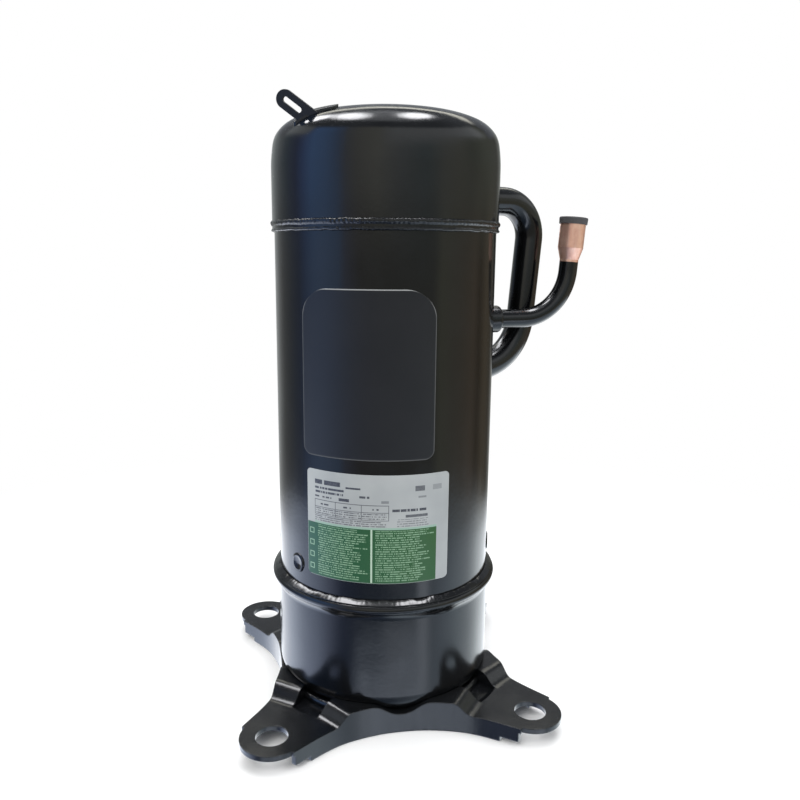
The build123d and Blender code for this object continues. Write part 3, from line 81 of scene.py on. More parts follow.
class G:
    """A node tree being built."""
    def __init__(self, tree):
        self.t = tree
        self.count = 0
    def n(self, kind, **kw):
        node = self.t.nodes.new(kind)
        self.count += 1
        node.location = (180 * (self.count % 24) - 2400, -220 * (self.count // 24))
        for k, v in kw.items():
            setattr(node, k, v)
        return node
    def put(self, sock, value):
        if isinstance(value, S):
            self.t.links.new(value.s, sock)
        elif isinstance(value, bpy.types.NodeSocket):
            self.t.links.new(value, sock)
        elif value is not None:
            if isinstance(value, (tuple, list)) and len(value) == 3 and len(sock.default_value) == 4:
                value = (*value, 1.0)
            sock.default_value = value
    def math(self, op, a, b=None, c=None, clamp=False):
        node = self.n("ShaderNodeMath", operation=op, use_clamp=clamp)
        for i, v in enumerate((a, b, c)):
            if v is not None:
                self.put(node.inputs[i], v)
        return S(self, node.outputs[0])
    def vmath(self, op, a, b=None, scale=None):
        node = self.n("ShaderNodeVectorMath", operation=op)
        self.put(node.inputs[0], a)
        if b is not None:
            self.put(node.inputs[1], b)
        if scale is not None:
            self.put(node.inputs["Scale"], scale)
        return node.outputs[0] if op not in ("DOT_PRODUCT", "LENGTH") else S(self, node.outputs["Value"])
    def coords(self):
        return self.n("ShaderNodeTexCoord").outputs["Object"]
    def split(self, v):
        node = self.n("ShaderNodeSeparateXYZ")
        self.put(node.inputs[0], v)
        return [S(self, o) for o in node.outputs]
    def join(self, x, y, z):
        node = self.n("ShaderNodeCombineXYZ")
        for i, v in enumerate((x, y, z)):
            self.put(node.inputs[i], v)
        return node.outputs[0]
    def noise(self, v, scale, detail=3.0, rough=0.5, distortion=0.0):
        node = self.n("ShaderNodeTexNoise")
        self.put(node.inputs["Vector"], v)
        node.inputs["Scale"].default_value = scale
        node.inputs["Detail"].default_value = detail
        node.inputs["Roughness"].default_value = rough
        node.inputs["Distortion"].default_value = distortion
        return S(self, node.outputs["Fac"])
    def rand(self, v):
        node = self.n("ShaderNodeTexWhiteNoise", noise_dimensions="3D")
        self.put(node.inputs["Vector"], v)
        return S(self, node.outputs["Value"])
    def voronoi(self, v, scale, feature="F1"):
        node = self.n("ShaderNodeTexVoronoi", feature=feature)
        self.put(node.inputs["Vector"], v)
        node.inputs["Scale"].default_value = scale
        return S(self, node.outputs["Distance"])
    def remap(self, v, a, b, c=0.0, d=1.0, smooth=False):
        node = self.n("ShaderNodeMapRange", interpolation_type="SMOOTHSTEP" if smooth else "LINEAR")
        self.put(node.inputs["Value"], v)
        for key, x in zip(("From Min", "From Max", "To Min", "To Max"), (a, b, c, d)):
            self.put(node.inputs[key], x)
        return S(self, node.outputs["Result"])
    def mix(self, fac, a, b, blend="MIX"):
        node = self.n("ShaderNodeMix", data_type="RGBA", blend_type=blend)
        self.put(node.inputs["Factor"], fac)
        self.put(node.inputs["A"] if False else node.inputs[6], a)
        self.put(node.inputs[7], b)
        return node.outputs[2]
    def ramp(self, v, stops, interp="LINEAR"):
        node = self.n("ShaderNodeValToRGB")
        node.color_ramp.interpolation = interp
        el = node.color_ramp.elements
        while len(el) < len(stops):
            el.new(0.5)
        for e, (p, c) in zip(el, stops):
            e.position = p
            e.color = (*c, 1.0)
        self.put(node.inputs[0], v)
        return node.outputs[0]
    def bump(self, height, strength, distance, normal=None):
        node = self.n("ShaderNodeBump")
        node.inputs["Strength"].default_value = strength
        node.inputs["Distance"].default_value = distance
        self.put(node.inputs["Height"], height)
        if normal is not None:
            self.put(node.inputs["Normal"], normal)
        return node.outputs[0]
    def bevel(self, radius, samples=4):
        node = self.n("ShaderNodeBevel", samples=samples)
        node.inputs["Radius"].default_value = radius
        return node.outputs[0]
    def up(self):
        """How far the surface faces up, 0..1."""
        geo = self.n("ShaderNodeNewGeometry").outputs["Normal"]
        return self.split(geo)[2]
    def inside(self, v, lo, hi):
        return self.math("MULTIPLY", self.math("GREATER_THAN", v, lo), self.math("LESS_THAN", v, hi))
    def azimuth(self, p):
        """Degrees from -Y towards +X about the shell axis."""
        x, y, z = self.split(p)
        return self.math("ARCTAN2", x, y * -1.0) * (180 / pi)


MATS = {}


def material(name):
    m = bpy.data.materials.new(name)
    m.use_nodes = True
    m.node_tree.nodes.clear()
    g = G(m.node_tree)
    out = g.n("ShaderNodeOutputMaterial")
    bsdf = g.n("ShaderNodeBsdfPrincipled")
    g.t.links.new(bsdf.outputs[0], out.inputs[0])
    MATS[name] = m
    return m, g, bsdf.inputs


def paint(name, rough=0.13, orange=0.35, wave=0.25, bevel=None, dust=0.4, base=(0.0020, 0.0022, 0.0026), lumps=0.0):
    """Gloss black enamel: slight orange peel, slow ripples in the sheet under it, a little dust and fine rub marks."""
    m, g, i = material(name)
    p = g.coords()
    slow = g.noise(p, 14.0, 2.0, 0.5)
    fine = g.noise(p, 420.0, 2.0, 0.55)
    cloud = g.noise(p, 45.0, 5.0, 0.6)
    speck = g.voronoi(p, 520.0)
    specks = g.remap(speck, 0.11, 0.07, 0.0, 1.0) * g.remap(g.noise(p, 60.0, 3.0, 0.6), 0.52, 0.66, 0.0, 1.0)
    facing = g.remap(g.up(), 0.25, 0.95, 0.0, 1.0)
    film = g.remap(cloud, 0.42, 0.75, 0.0, 1.0)
    settled = facing * film * dust
    tint = g.mix(g.remap(cloud, 0.3, 0.7, 0.0, 1.0), base, tuple(c * 1.7 for c in base))
    tint = g.mix((settled * 0.035 + specks * facing * 0.25 * dust + specks * 0.03), tint, (0.30, 0.30, 0.29))
    g.put(i["Base Color"], tint)
    stretched = g.vmath("MULTIPLY", p, (260.0, 260.0, 22.0))
    rub = g.remap(g.noise(stretched, 1.0, 3.0, 0.6), 0.35, 0.8, 0.0, 1.0)
    g.put(i["Roughness"], rough + cloud * 0.05 + rub * 0.035 + settled * 0.22)
    i["IOR"].default_value = 1.5
    n = g.bevel(bevel) if bevel else None
    if lumps:
        n = g.bump(g.noise(p, 230.0, 4.0, 0.62), lumps, 0.0012, n)
    n = g.bump(slow, wave, 0.0022, n)
    n = g.bump(fine, orange * 0.12, 0.0006, n)
    g.put(i["Normal"], n)
    return m


def metal(name, color, rough=0.3, grain=(400.0, 400.0, 400.0), grain_amount=0.3, tarnish=None, bump=0.08, bevel=None, metallic=1.0):
    """Bare metal with turning or drawing marks, blotches and a slight tarnish."""
    m, g, i = material(name)
    p = g.coords()
    marks = g.noise(g.vmath("MULTIPLY", p, grain), 1.0, 4.0, 0.65)
    blotch = g.noise(p, 70.0, 4.0, 0.6)
    t = tarnish or tuple(c * 0.55 for c in color)
    c = g.mix(g.remap(blotch, 0.45, 0.75, 0.0, 0.55), color, t)
    c = g.mix(g.remap(marks, 0.3, 0.75, 0.0, grain_amount), c, tuple(min(1.0, x * 1.15) for x in color))
    g.put(i["Base Color"], c)
    i["Metallic"].default_value = metallic
    g.put(i["Roughness"], rough + marks * 0.12 + g.remap(blotch, 0.5, 0.8, 0.0, 0.12))
    n = g.bevel(bevel) if bevel else None
    g.put(i["Normal"], g.bump(marks, bump, 0.0004, n))
    return m


def soft(name, color, rough=0.6, bump=0.15, scale=500.0, second=None, spec=0.4, bevel=None):
    """Moulded plastic, rubber, paper or insulation: fine texture and slow colour change."""
    m, g, i = material(name)
    p = g.coords()
    fine = g.noise(p, scale, 3.0, 0.6)
    slow = g.noise(p, 60.0, 4.0, 0.6)
    c = g.mix(g.remap(slow, 0.35, 0.7, 0.0, 1.0), color, second or tuple(x * 0.75 for x in color))
    c = g.mix(g.remap(fine, 0.55, 0.8, 0.0, 0.35), c, tuple(min(1.0, x * 1.3 + 0.01) for x in color))
    g.put(i["Base Color"], c)
    g.put(i["Roughness"], rough + fine * 0.12)
    i["Specular IOR Level"].default_value = spec
    n = g.bevel(bevel) if bevel else None
    g.put(i["Normal"], g.bump(fine, bump, 0.0004, n))
    return m


# --------------------------------------------------------------------------- printed label
def dash_rows(g, s, z, s0, s1, z0, z1, pitch, thick, cell, fill, seed, short=0.55):
    """Rows of short bars standing in for small print: 1 on a bar."""
    row = ((z - z0) / pitch).floor()
    within = ((z - z0) / pitch).fract()
    body = g.inside(within, 0.5 - thick / 2, 0.5 + thick / 2)
    col = ((s - s0) / cell).floor()
    on = g.rand(g.join(col, row, seed)).lt(fill)
    length = g.rand(g.join(row, seed, 7.3)) * (1.0 - short) + short
    limit = length * (s1 - s0) + s0
    box = g.inside(s, s0, s1) * g.inside(z, z0, z1) * s.lt(limit)
    return body * on * box


def bar(g, s, z, s0, s1, z0, z1):
    return g.inside(s, s0, s1) * g.inside(z, z0, z1)


def label_material():
    m, g, i = material("label_print")
    p = g.coords()
    x, y, zz = g.split(p)
    s = (g.azimuth(p) + 51.0) * (70.05 * pi / 180)      # mm along the label
    z = zz * 1000.0 - (ZT + 86.2)                        # mm above its lower edge
    wob = g.noise(p, 900.0, 2.0, 0.5)
    # paper part
    ink = bar(g, s, z, 6.2, 24.0, 58.6, 61.4) * g.rand(g.join((s / 1.3).floor(), 1.0, 2.0)).gt(0.12)
    ink = ink.mx(dash_rows(g, s, z, 27.5, 37.5, 57.4, 59.6, 2.2, 0.5, 0.8, 0.75, 3.0, 0.9))
    ink = ink.mx(dash_rows(g, s, z, 6.2, 31.0, 52.6, 57.8, 2.5, 0.52, 0.42, 0.82, 5.0, 0.7))
    ink = ink.mx(bar(g, s, z, 36.0, 42.0, 53.0, 54.3) * g.rand(g.join((s / 0.9).floor(), 4.0, 2.0)).gt(0.2))
    ink = ink.mx(bar(g, s, z, 23.0, 30.0, 50.0, 51.8) * g.rand(g.join((s / 1.1).floor(), 5.0, 2.0)).gt(0.18))
    ink = ink.mx(dash_rows(g, s, z, 6.2, 20.0, 50.0, 52.0, 2.0, 0.5, 0.8, 0.6, 9.0, 0.9))
    ink = ink.mx(bar(g, s, z, 49.0, 53.5, 50.2, 51.8) * 0.55)
    # table
    lines = bar(g, s, z, 6.0, 53.6, 48.6, 49.05).mx(bar(g, s, z, 6.0, 53.6, 44.2, 44.6)).mx(bar(g, s, z, 6.0, 53.6, 39.4, 39.75))
    for c in (6.0, 20.6, 37.0, 53.2):
        lines = lines.mx(bar(g, s, z, c, c + 0.4, 39.4, 49.05))
    ink = ink.mx(lines * 0.85)
    ink = ink.mx(dash_rows(g, s, z, 10.5, 17.0, 45.3, 47.5, 2.2, 0.45, 0.8, 0.8, 11.0, 0.9))
    ink = ink.mx(dash_rows(g, s, z, 26.0, 31.5, 45.3, 47.5, 2.2, 0.45, 0.8, 0.8, 12.0, 0.9))
    ink = ink.mx(dash_rows(g, s, z, 43.0, 48.0, 45.3, 47.5, 2.2, 0.45, 0.8, 0.8, 13.0, 0.9))
    ink = ink.mx(dash_rows(g, s, z, 7.0, 52.5, 39.9, 44.1, 1.4, 0.50, 0.40, 0.74, 14.0, 0.9) * 0.75)
    ink = ink.mx(dash_rows(g, s, z, 6.2, 53.0, 35.3, 39.3, 1.3, 0.50, 0.38, 0.78, 15.0, 0.9) * 0.75)
    # right-hand block
    ink = ink.mx(dash_rows(g, s, z, 55.0, 77.0, 44.2, 47.4, 3.2, 0.5, 0.5, 0.86, 16.0, 0.95))
    ink = ink.mx(dash_rows(g, s, z, 63.5, 77.6, 40.8, 43.6, 2.8, 0.6, 0.9, 0.9, 17.0, 0.95) * 0.85)
    ink = ink.mx(dash_rows(g, s, z, 58.5, 79.0, 35.4, 40.4, 1.4, 0.46, 0.42, 0.76, 18.0, 0.85) * 0.6)
    # two plain squares and a short bar where printed marks would be
    ink = ink.mx(bar(g, s, z, 69.2, 75.2, 57.2, 60.4) * 0.8)
    ink = ink.mx(bar(g, s, z, 80.4, 86.4, 57.2, 60.4) * 0.35)
    ink = ink.mx(bar(g, s, z, 71.2, 76.2, 53.0, 54.2) * 0.5)
    # green block
    green = bar(g, s, z, -2.0, 83.3, -2.0, 33.9)
    white_small = dash_rows(g, s, z, 8.2, 41.6, 1.2, 33.2, 1.42, 0.50, 0.36, 0.74, 21.0, 0.70)
    white_small = white_small.mx(dash_rows(g, s, z, 45.6, 82.0, 1.2, 33.2, 1.42, 0.50, 0.36, 0.74, 22.0, 0.70))
    rule = bar(g, s, z, 42.7, 43.8, 0.5, 33.9)
    boxes = None
    for zc in (5.6, 13.2, 20.8, 28.4):
        outer = bar(g, s, z, 1.7, 5.3, zc - 1.8, zc + 1.8)
        inner = bar(g, s, z, 2.3, 4.7, zc - 1.2, zc + 1.2)
        b = outer * inner.inv()
        boxes = b if boxes is None else boxes.mx(b)
    band = bar(g, s, z, 6.0, 83.3, 33.9, 35.2)
    paper = g.mix(g.remap(g.noise(p, 26.0, 3.0, 0.5), 0.3, 0.7, 0.0, 1.0), (0.285, 0.305, 0.315), (0.37, 0.39, 0.395))
    paper = g.mix(band * 0.7, paper, (0.20, 0.36, 0.27))
    c = g.mix(ink * (0.70 + wob * 0.4), paper, (0.016, 0.018, 0.032))
    deep = g.mix(g.remap(s, 0.0, 83.0, 0.0, 1.0), (0.010, 0.070, 0.036), (0.018, 0.074, 0.014))
    deep = g.mix(g.remap(g.noise(p, 40.0, 3.0, 0.5), 0.3, 0.7, 0.0, 0.5), deep, (0.012, 0.075, 0.025))
    light = g.mix(0.0, (0.26, 0.42, 0.28), (0.26, 0.42, 0.28))
    gr = g.mix((white_small * (0.35 + wob * 0.55)), deep, light)
    gr = g.mix(boxes * 0.75, gr, (0.26, 0.42, 0.30))
    gr = g.mix(rule, gr, (0.36, 0.48, 0.38))
    c = g.mix(green, c, gr)
    # a slightly lifted, worn edge
    edge = (s.lt(0.35)).mx(s.gt(91.3)).mx(z.lt(0.3)).mx(z.gt(67.0))
    c = g.mix(edge * 0.45, c, (0.42, 0.45, 0.45))
    g.put(i["Base Color"], c)
    g.put(i["Roughness"], 0.26 + wob * 0.08 + ink * 0.12)
    i["Specular IOR Level"].default_value = 0.45
    g.put(i["Normal"], g.bump(g.noise(p, 55.0, 2.0, 0.5), 0.10, 0.0008))
    return m


def plate_material():
    """Blank satin film: near-black face, pale core showing along its edge, brightened along the top edge as a painted
    highlight.
    """
    m, g, i = material("plate_film")
    p = g.coords()
    x, y, zz = g.split(p)
    az = g.azimuth(p)
    half = 68.4 / 2 * pi / 180 * 70.1
    s = (az + 19.0) * (pi / 180 * 70.1)
    z = zz * 1000.0 - (ZT + (162.0 + 260.7) / 2)
    hz = (260.7 - 162.0) / 2
    # rounded-rectangle distance, with larger corners at the top
    rc = g.remap(z, -1.0, 1.0, 5.5, 17.0)
    qx = s.abs() - (half - rc)
    qz = z.abs() - (hz - rc)
    ax, aq = qx.mx(0.0), qz.mx(0.0)
    dist = g.math("SQRT", ax * ax + aq * aq) + qx.mx(qz).mn(0.0) - rc
    wob = g.noise(p, 160.0, 2.0, 0.5)
    edge = g.remap(dist, -0.75, -0.50, 0.0, 1.0)
    face = g.mix(g.remap(g.noise(p, 30.0, 3.0, 0.5), 0.3, 0.7, 0.0, 1.0), (0.0042, 0.0044, 0.0058), (0.0062, 0.0064, 0.0080))
    # the pale core line stays at about a fifth of its strength except along the top edge, where a painted highlight
    # brings it to full strength
    c = g.mix(edge * g.remap(z, hz - 16.0, hz - 6.0, 0.22, 1.0) * (0.75 + wob * 0.25), face, (0.30, 0.31, 0.31))
    g.put(i["Base Color"], c)
    fine = g.noise(p, 1400.0, 2.0, 0.5)
    g.put(i["Roughness"], 0.40 + fine * 0.08 + edge * 0.1)
    i["Specular IOR Level"].default_value = 0.42
    g.put(i["Normal"], g.bump(fine, 0.12, 0.0002))
    return m


def copper_material(name, paint_below=None):
    """Drawn copper, with overspray of the black paint at its lower end."""
    m, g, i = material(name)
    p = g.coords()
    x, y, z = g.split(p)
    marks = g.noise(g.vmath("MULTIPLY", p, (900.0, 900.0, 60.0)), 1.0, 4.0, 0.6)
    blotch = g.noise(p, 120.0, 4.0, 0.6)
    c = g.mix(g.remap(blotch, 0.35, 0.7, 0.0, 1.0), (0.98, 0.62, 0.48), (0.80, 0.42, 0.31))
    c = g.mix(g.remap(marks, 0.5, 0.8, 0.0, 0.4), c, (1.0, 0.80, 0.70))
    rough = 0.26 + marks * 0.14 + blotch * 0.08
    metallic = 0.86
    if paint_below is not None:
        over = g.remap(z * 1000.0 + (g.noise(p, 500.0, 3.0, 0.6) - 0.5) * 3.0, paint_below - 0.5, paint_below + 0.5, 1.0, 0.0)
        c = g.mix(over, c, (0.0045, 0.005, 0.006))
        rough = rough * over.inv() + over * 0.16
        metallic = over.inv()
    g.put(i["Base Color"], c)
    g.put(i["Metallic"], metallic)
    g.put(i["Roughness"], rough)
    g.put(i["Normal"], g.bump(marks, 0.10, 0.0004))
    return m


def laminated(name, color, pitch):
    """A stack of thin steel sheets, seen edge on."""
    m, g, i = material(name)
    p = g.coords()
    x, y, z = g.split(p)
    t = (z * (1000.0 / pitch)).fract()
    line = g.remap((t - 0.5).abs(), 0.36, 0.5, 0.0, 1.0)
    c = g.mix(g.noise(p, 150.0, 4.0, 0.6), color, tuple(v * 0.6 for v in color))
    c = g.mix(line * 0.7, c, (0.03, 0.03, 0.035))
    g.put(i["Base Color"], c)
    i["Metallic"].default_value = 0.85
    g.put(i["Roughness"], 0.42 + line * 0.2)
    g.put(i["Normal"], g.bump(line, 0.3, 0.0002))
    return m


def winding(name):
    """Bundled enamelled wire, with painted shade in the grooves between strands."""
    m, g, i = material(name)
    p = g.coords()
    az = g.azimuth(p)
    x, y, z = g.split(p)
    r = g.math("SQRT", x * x + y * y) * 1000.0
    w = ((r * 1.1 + z * 900.0) + g.noise(p, 60.0, 3.0, 0.6) * 3.0)
    strand = ((w.fract()) - 0.5).abs()
    # each strand is copper-bright at its middle and dark towards its sides: painted shade in the grooves between the
    # round wires
    c = g.mix(g.remap(strand, 0.2, 0.5, 0.0, 1.0), (0.42, 0.14, 0.05), (0.10, 0.03, 0.012))
    c = g.mix(g.remap(g.noise(p, 90.0, 3.0, 0.6), 0.4, 0.7, 0.0, 0.6), c, (0.58, 0.24, 0.10))
    g.put(i["Base Color"], c)
    i["Metallic"].default_value = 0.5
    g.put(i["Roughness"], 0.3 + strand * 0.3)
    i["Coat Weight"].default_value = 0.4
    g.put(i["Normal"], g.bump(strand, 0.5, 0.0005))
    return m


paint("paint_shell", rough=0.10, orange=0.30, wave=0.28)
paint("paint_cap", rough=0.10, orange=0.34, wave=0.40)
paint("paint_cup", rough=0.15, orange=0.40, wave=0.40)
paint("paint_pressed", rough=0.15, orange=0.50, wave=0.45, bevel=0.0009, dust=0.15, base=(0.0036, 0.0040, 0.0048))
paint("paint_lug", rough=0.24, orange=0.5, wave=0.3, bevel=0.0005)
paint("paint_weld", rough=0.14, orange=0.6, wave=0.3, lumps=0.35)
paint("paint_bead", rough=0.10, orange=0.3, wave=0.15, lumps=0.03, dust=0.05)
paint("paint_tube", rough=0.12, orange=0.45, wave=0.2)
paint("paint_fitting", rough=0.16, orange=0.6, wave=0.4, bevel=0.0004, lumps=0.15)
label_material()
plate_material()
copper_material("copper_socket")
copper_material("copper_suction")
soft("rubber_grey", (0.065, 0.065, 0.068), 0.55, 0.25, 900.0, spec=0.3, bevel=0.0004)
soft("rubber_black", (0.018, 0.018, 0.019), 0.6, 0.2, 900.0, bevel=0.0003)
soft("plastic_black", (0.016, 0.016, 0.017), 0.42, 0.35, 650.0, bevel=0.0006)
soft("seal_polymer", (0.05, 0.045, 0.04), 0.5, 0.1, 700.0)
soft("lead_insulation", (0.42, 0.05, 0.035), 0.5, 0.1, 700.0)
soft("magnet_ferrite", (0.035, 0.035, 0.038), 0.7, 0.3, 800.0)
soft("glass_bead", (0.10, 0.16, 0.15), 0.14, 0.05, 300.0, spec=0.6)
metal("plated_steel", (0.62, 0.62, 0.58), 0.28, (500.0, 500.0, 500.0), bevel=0.0003)
metal("machined_steel", (0.52, 0.52, 0.53), 0.24, (60.0, 60.0, 1800.0))
metal("cast_grey", (0.26, 0.26, 0.27), 0.5, (500.0, 500.0, 500.0), bump=0.3)
metal("scroll_alloy", (0.62, 0.63, 0.64), 0.34, (900.0, 900.0, 90.0))
metal("cage_alloy", (0.66, 0.67, 0.68), 0.4, (300.0, 300.0, 300.0), bump=0.2)
metal("bronze_bush", (0.55, 0.38, 0.18), 0.3, (60.0, 60.0, 1500.0))
laminated("lamination", (0.24, 0.25, 0.27), 0.5)
winding("winding")

WEAR = {
    "body_shell": "paint_shell", "top_cap": "paint_cap", "bottom_cup": "paint_cup",
    "top_seam_weld": "paint_weld", "bottom_seam_weld": "paint_bead", "plug_welds": "paint_weld",
    "base_plate": "paint_pressed", "base_welds": "paint_weld", "lifting_lug": "paint_lug",
    "connecting_pipe": "paint_tube", "connecting_pipe_collars": "paint_fitting",
    "discharge_pipe": "paint_tube", "discharge_collar": "paint_fitting", "discharge_stub": "copper_socket",
    "discharge_plug": "rubber_grey", "suction_pipe": "paint_tube", "suction_collar": "paint_fitting",
    "suction_stub": "copper_suction", "suction_plug": "rubber_grey",
    "terminal_body": "plated_steel", "terminal_glass": "glass_bead", "terminal_pins": "plated_steel",
    "terminal_stud": "plated_steel", "terminal_gasket": "rubber_black", "terminal_cover": "plastic_black",
    "terminal_nut": "plated_steel", "rating_label": "label_print", "blank_plate": "plate_film",
    "main_frame": "cast_grey", "main_bearing_bush": "bronze_bush", "fixed_scroll": "scroll_alloy",
    "fixed_tip_seal": "seal_polymer", "scroll_bolts": "machined_steel", "valve_disc": "machined_steel",
    "valve_guide": "machined_steel", "valve_screws": "plated_steel", "orbiting_scroll": "scroll_alloy",
    "orbiting_tip_seal": "seal_polymer", "orbiting_bush": "bronze_bush", "oldham_ring": "machined_steel",
    "crankshaft": "machined_steel", "rotor_core": "lamination", "rotor_cage": "cage_alloy",
    "upper_balance_weight": "cast_grey", "lower_balance_weight": "cast_grey", "oil_pickup_tube": "plated_steel",
    "stator_core": "lamination", "stator_coils": "winding", "thermal_protector": "plastic_black",
    "lead_wires": "lead_insulation", "lower_bearing_frame": "cast_grey", "lower_bearing_bush": "bronze_bush",
    "thrust_plate": "machined_steel", "sump_magnet": "magnet_ferrite",
}
for name, node in NODES.items():
    node.data.materials.clear()
    node.data.materials.append(MATS[WEAR[name]])


# --------------------------------------------------------------------------- new pieces
def mesh_object(name, verts, faces, mat, smooth=True):
    me = bpy.data.meshes.new(name)
    me.from_pydata(verts, [], faces)
    me.update()
    bm = bmesh.new()
    bm.from_mesh(me)
    bmesh.ops.recalc_face_normals(bm, faces=bm.faces)
    bm.to_mesh(me)
    bm.free()
    if smooth:
        me.polygons.foreach_set("use_smooth", [True] * len(me.polygons))
    me.materials.append(MATS[mat])
    ob = bpy.data.objects.new(name, me)
    bpy.context.scene.collection.objects.link(ob)
    return ob


def ring(name, profile, steps, mat):
    """A closed bead round the shell.  profile(azimuth in radians) gives a closed loop of (radius, height) in mm."""
    verts, faces = [], []
    m = None
    for k in range(steps):
        a = 2 * pi * k / steps
        loop = profile(a)
        m = len(loop)
        for r, z in loop:
            verts.append((r * sin(a) * MM, -r * cos(a) * MM, z * MM))
    for k in range(steps):
        for j in range(m):
            a0, a1 = k * m + j, k * m + (j + 1) % m
            b0, b1 = ((k + 1) % steps) * m + j, ((k + 1) % steps) * m + (j + 1) % m
            faces.append((a0, a1, b1, b0))
    return mesh_object(name, verts, faces, mat)


def fbm(a, f, seed, amp=1.0):
    """Smooth noise round the ring, -amp..amp."""
    return amp * noise.noise(Vector((cos(a) * f, sin(a) * f, seed)))


def top_bead(a):
    """Weld bead on the lap of the cap over the body: overlapping ripples, and the cap's thin wavy lip below."""
    n = 168
    t = (a / (2 * pi) * n)
    ripple = abs(sin(pi * t + fbm(a, 30, 4.0, 0.8)))
    top = 299.6 + fbm(a, 14, 1.0, 0.35) + fbm(a, 55, 1.5, 0.2)
    low = 296.1 + fbm(a, 12, 2.0, 0.35) + fbm(a, 60, 2.5, 0.25)
    toe = 293.0 + fbm(a, 9, 3.0, 0.35) + fbm(a, 48, 3.5, 0.2)
    crown = 0.95 + 0.22 * ripple + fbm(a, 40, 5.0, 0.15)
    out = []
    pts = 9
    for j in range(pts):
        u = j / (pts - 1)
        z = top + (low - top) * u
        lean = 0.35 * sin(2 * pi * (t * 0.5 + u * 1.2))
        r = 71.12 + crown * sin(pi * u) ** 0.7 * (1.0 - 0.2 * u) + 0.10 * lean * sin(pi * u)
        out.append((r, z))
    # a groove down to the cap's surface, then the lip of the lap
    lip = 71.75 + fbm(a, 50, 6.0, 0.15)
    out += [(71.1, low - 0.2), (71.12, toe + 1.9), (71.45, toe + 1.45), (lip, toe + 0.9), (lip - 0.05, toe + 0.45),
            (71.2, toe + 0.1), (70.4, toe - 0.1), (69.6, toe - 0.4), (69.5, top - 2.0)]
    return [(r, z + 3.2) for r, z in out]


def low_bead(a):
    """Fillet bead between the body and the lip of the bottom cup."""
    n = 150
    t = (a / (2 * pi) * n)
    ripple = abs(sin(pi * t + fbm(a, 25, 14.0, 0.9)))
    hi = 75.9 + fbm(a, 10, 11.0, 0.45) + fbm(a, 40, 11.5, 0.10)
    edge = 74.15 + fbm(a, 8, 12.0, 0.2) + fbm(a, 40, 12.5, 0.05)
    out = [(69.6, 72.9)]
    pts = 9
    for j in range(pts):
        u = j / (pts - 1)
        r = edge + (70.0 - edge) * u
        z = 73.5 + (hi - 73.5) * u ** 1.6 + (0.55 + 0.035 * ripple) * sin(pi * u) ** 0.8
        out.append((r, z))
    out += [(69.6, hi - 0.4)]
    return [(r, z + 3.2) for r, z in out]


bead_top = ring("cap_weld_bead", top_bead, 1440, "paint_weld")
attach(bead_top, "housing")
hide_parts("top_seam_weld")
bead_low = ring("cup_weld_bead", low_bead, 1440, "paint_bead")
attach(bead_low, "housing")
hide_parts("bottom_seam_weld")


def plug_craters(name, azimuths, z0, mat):
    """Plug welds: a raised, uneven ring with a shallow pool in the middle."""
    verts, faces = [], []
    rings = [(0.0, 0.18), (1.2, 0.22), (2.4, 0.36), (3.3, 0.60), (4.0, 0.86), (4.7, 1.02), (5.4, 0.86), (6.0, 0.35), (6.3, -0.4)]
    n = 48
    for az in azimuths:
        base = len(verts)
        c = radians(az)
        for k, (rr, h) in enumerate(rings):
            count = 1 if rr == 0.0 else n
            for j in range(count):
                t = 2 * pi * j / n
                wob = 1.0 + 0.07 * noise.noise(Vector((cos(t) * 1.6, sin(t) * 1.6, az)))
                hh = h + (0.05 * noise.noise(Vector((rr * cos(t) * 0.8, rr * sin(t) * 0.8, az + 5))) if h > 0 else 0)
                if 3.0 < rr < 6.0:
                    hh += 0.18 * cos(t + 0.9)
                u, v = rr * wob * cos(t), rr * wob * sin(t)
                rad = R_BODY + hh
                aa = c + u / R_BODY
                verts.append((rad * sin(aa) * MM, -rad * cos(aa) * MM, (z0 + v) * MM))
        for j in range(n):
            faces.append((base, base + 1 + j, base + 1 + (j + 1) % n))
        for k in range(1, len(rings) - 1):
            p0, p1 = base + 1 + (k - 1) * n, base + 1 + k * n
            for j in range(n):
                faces.append((p0 + j, p1 + j, p1 + (j + 1) % n, p0 + (j + 1) % n))
        last = base + 1 + (len(rings) - 2) * n
        faces.append(tuple(last + j for j in range(n)))
    return mesh_object(name, verts, faces, mat)


craters = plug_craters("plug_weld_craters", (-59.5, 75.5, 120.5, 255.5), ZT + 89.3, "paint_bead")
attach(craters, "housing")
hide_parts("plug_welds")

# --------------------------------------------------------------------------- camera
cam_data = bpy.data.cameras.new("camera")
cam = bpy.data.objects.new("camera", cam_data)
bpy.context.scene.collection.objects.link(cam)
cam.rotation_mode = "QUATERNION"
from mathutils import Euler, Quaternion
q = Euler((radians(78.94), 0.0, radians(-9.78)), "XYZ").to_quaternion() @ Quaternion((0.0, 0.0, 1.0), 0.0065)
cam.rotation_quaternion = q
cam.location = (-0.0846, -0.4908, 0.2852)
cam_data.sensor_width = 36.0
cam_data.lens = 34.44
cam_data.shift_x = 0.0196
cam_data.clip_start, cam_data.clip_end = 0.01, 100.0
bpy.context.scene.camera = cam


def camera_angle(node_tree, socket, index=0):
    """Drives a socket with the camera's azimuth, so that the studio stays behind whichever camera looks."""
    d = socket.driver_add("default_value").driver
    d.type = "SCRIPTED"
    for name, axis in (("cx", "LOC_X"), ("cy", "LOC_Y")):
        v = d.variables.new()
        v.name = name
        v.type = "TRANSFORMS"
        v.targets[0].id = cam
        v.targets[0].transform_type = axis
        v.targets[0].transform_space = "WORLD_SPACE"
    d.expression = "atan2(cy, cx)"


# --------------------------------------------------------------------------- floor
def floor_mesh(size, z):
    v = [(-size, -size, z), (size, -size, z), (size, size, z), (-size, size, z)]
    me = bpy.data.meshes.new("studio_floor")
    me.from_pydata(v, [], [(0, 1, 2, 3)])
    ob = bpy.data.objects.new("studio_floor", me)
    bpy.context.scene.collection.objects.link(ob)
    return ob


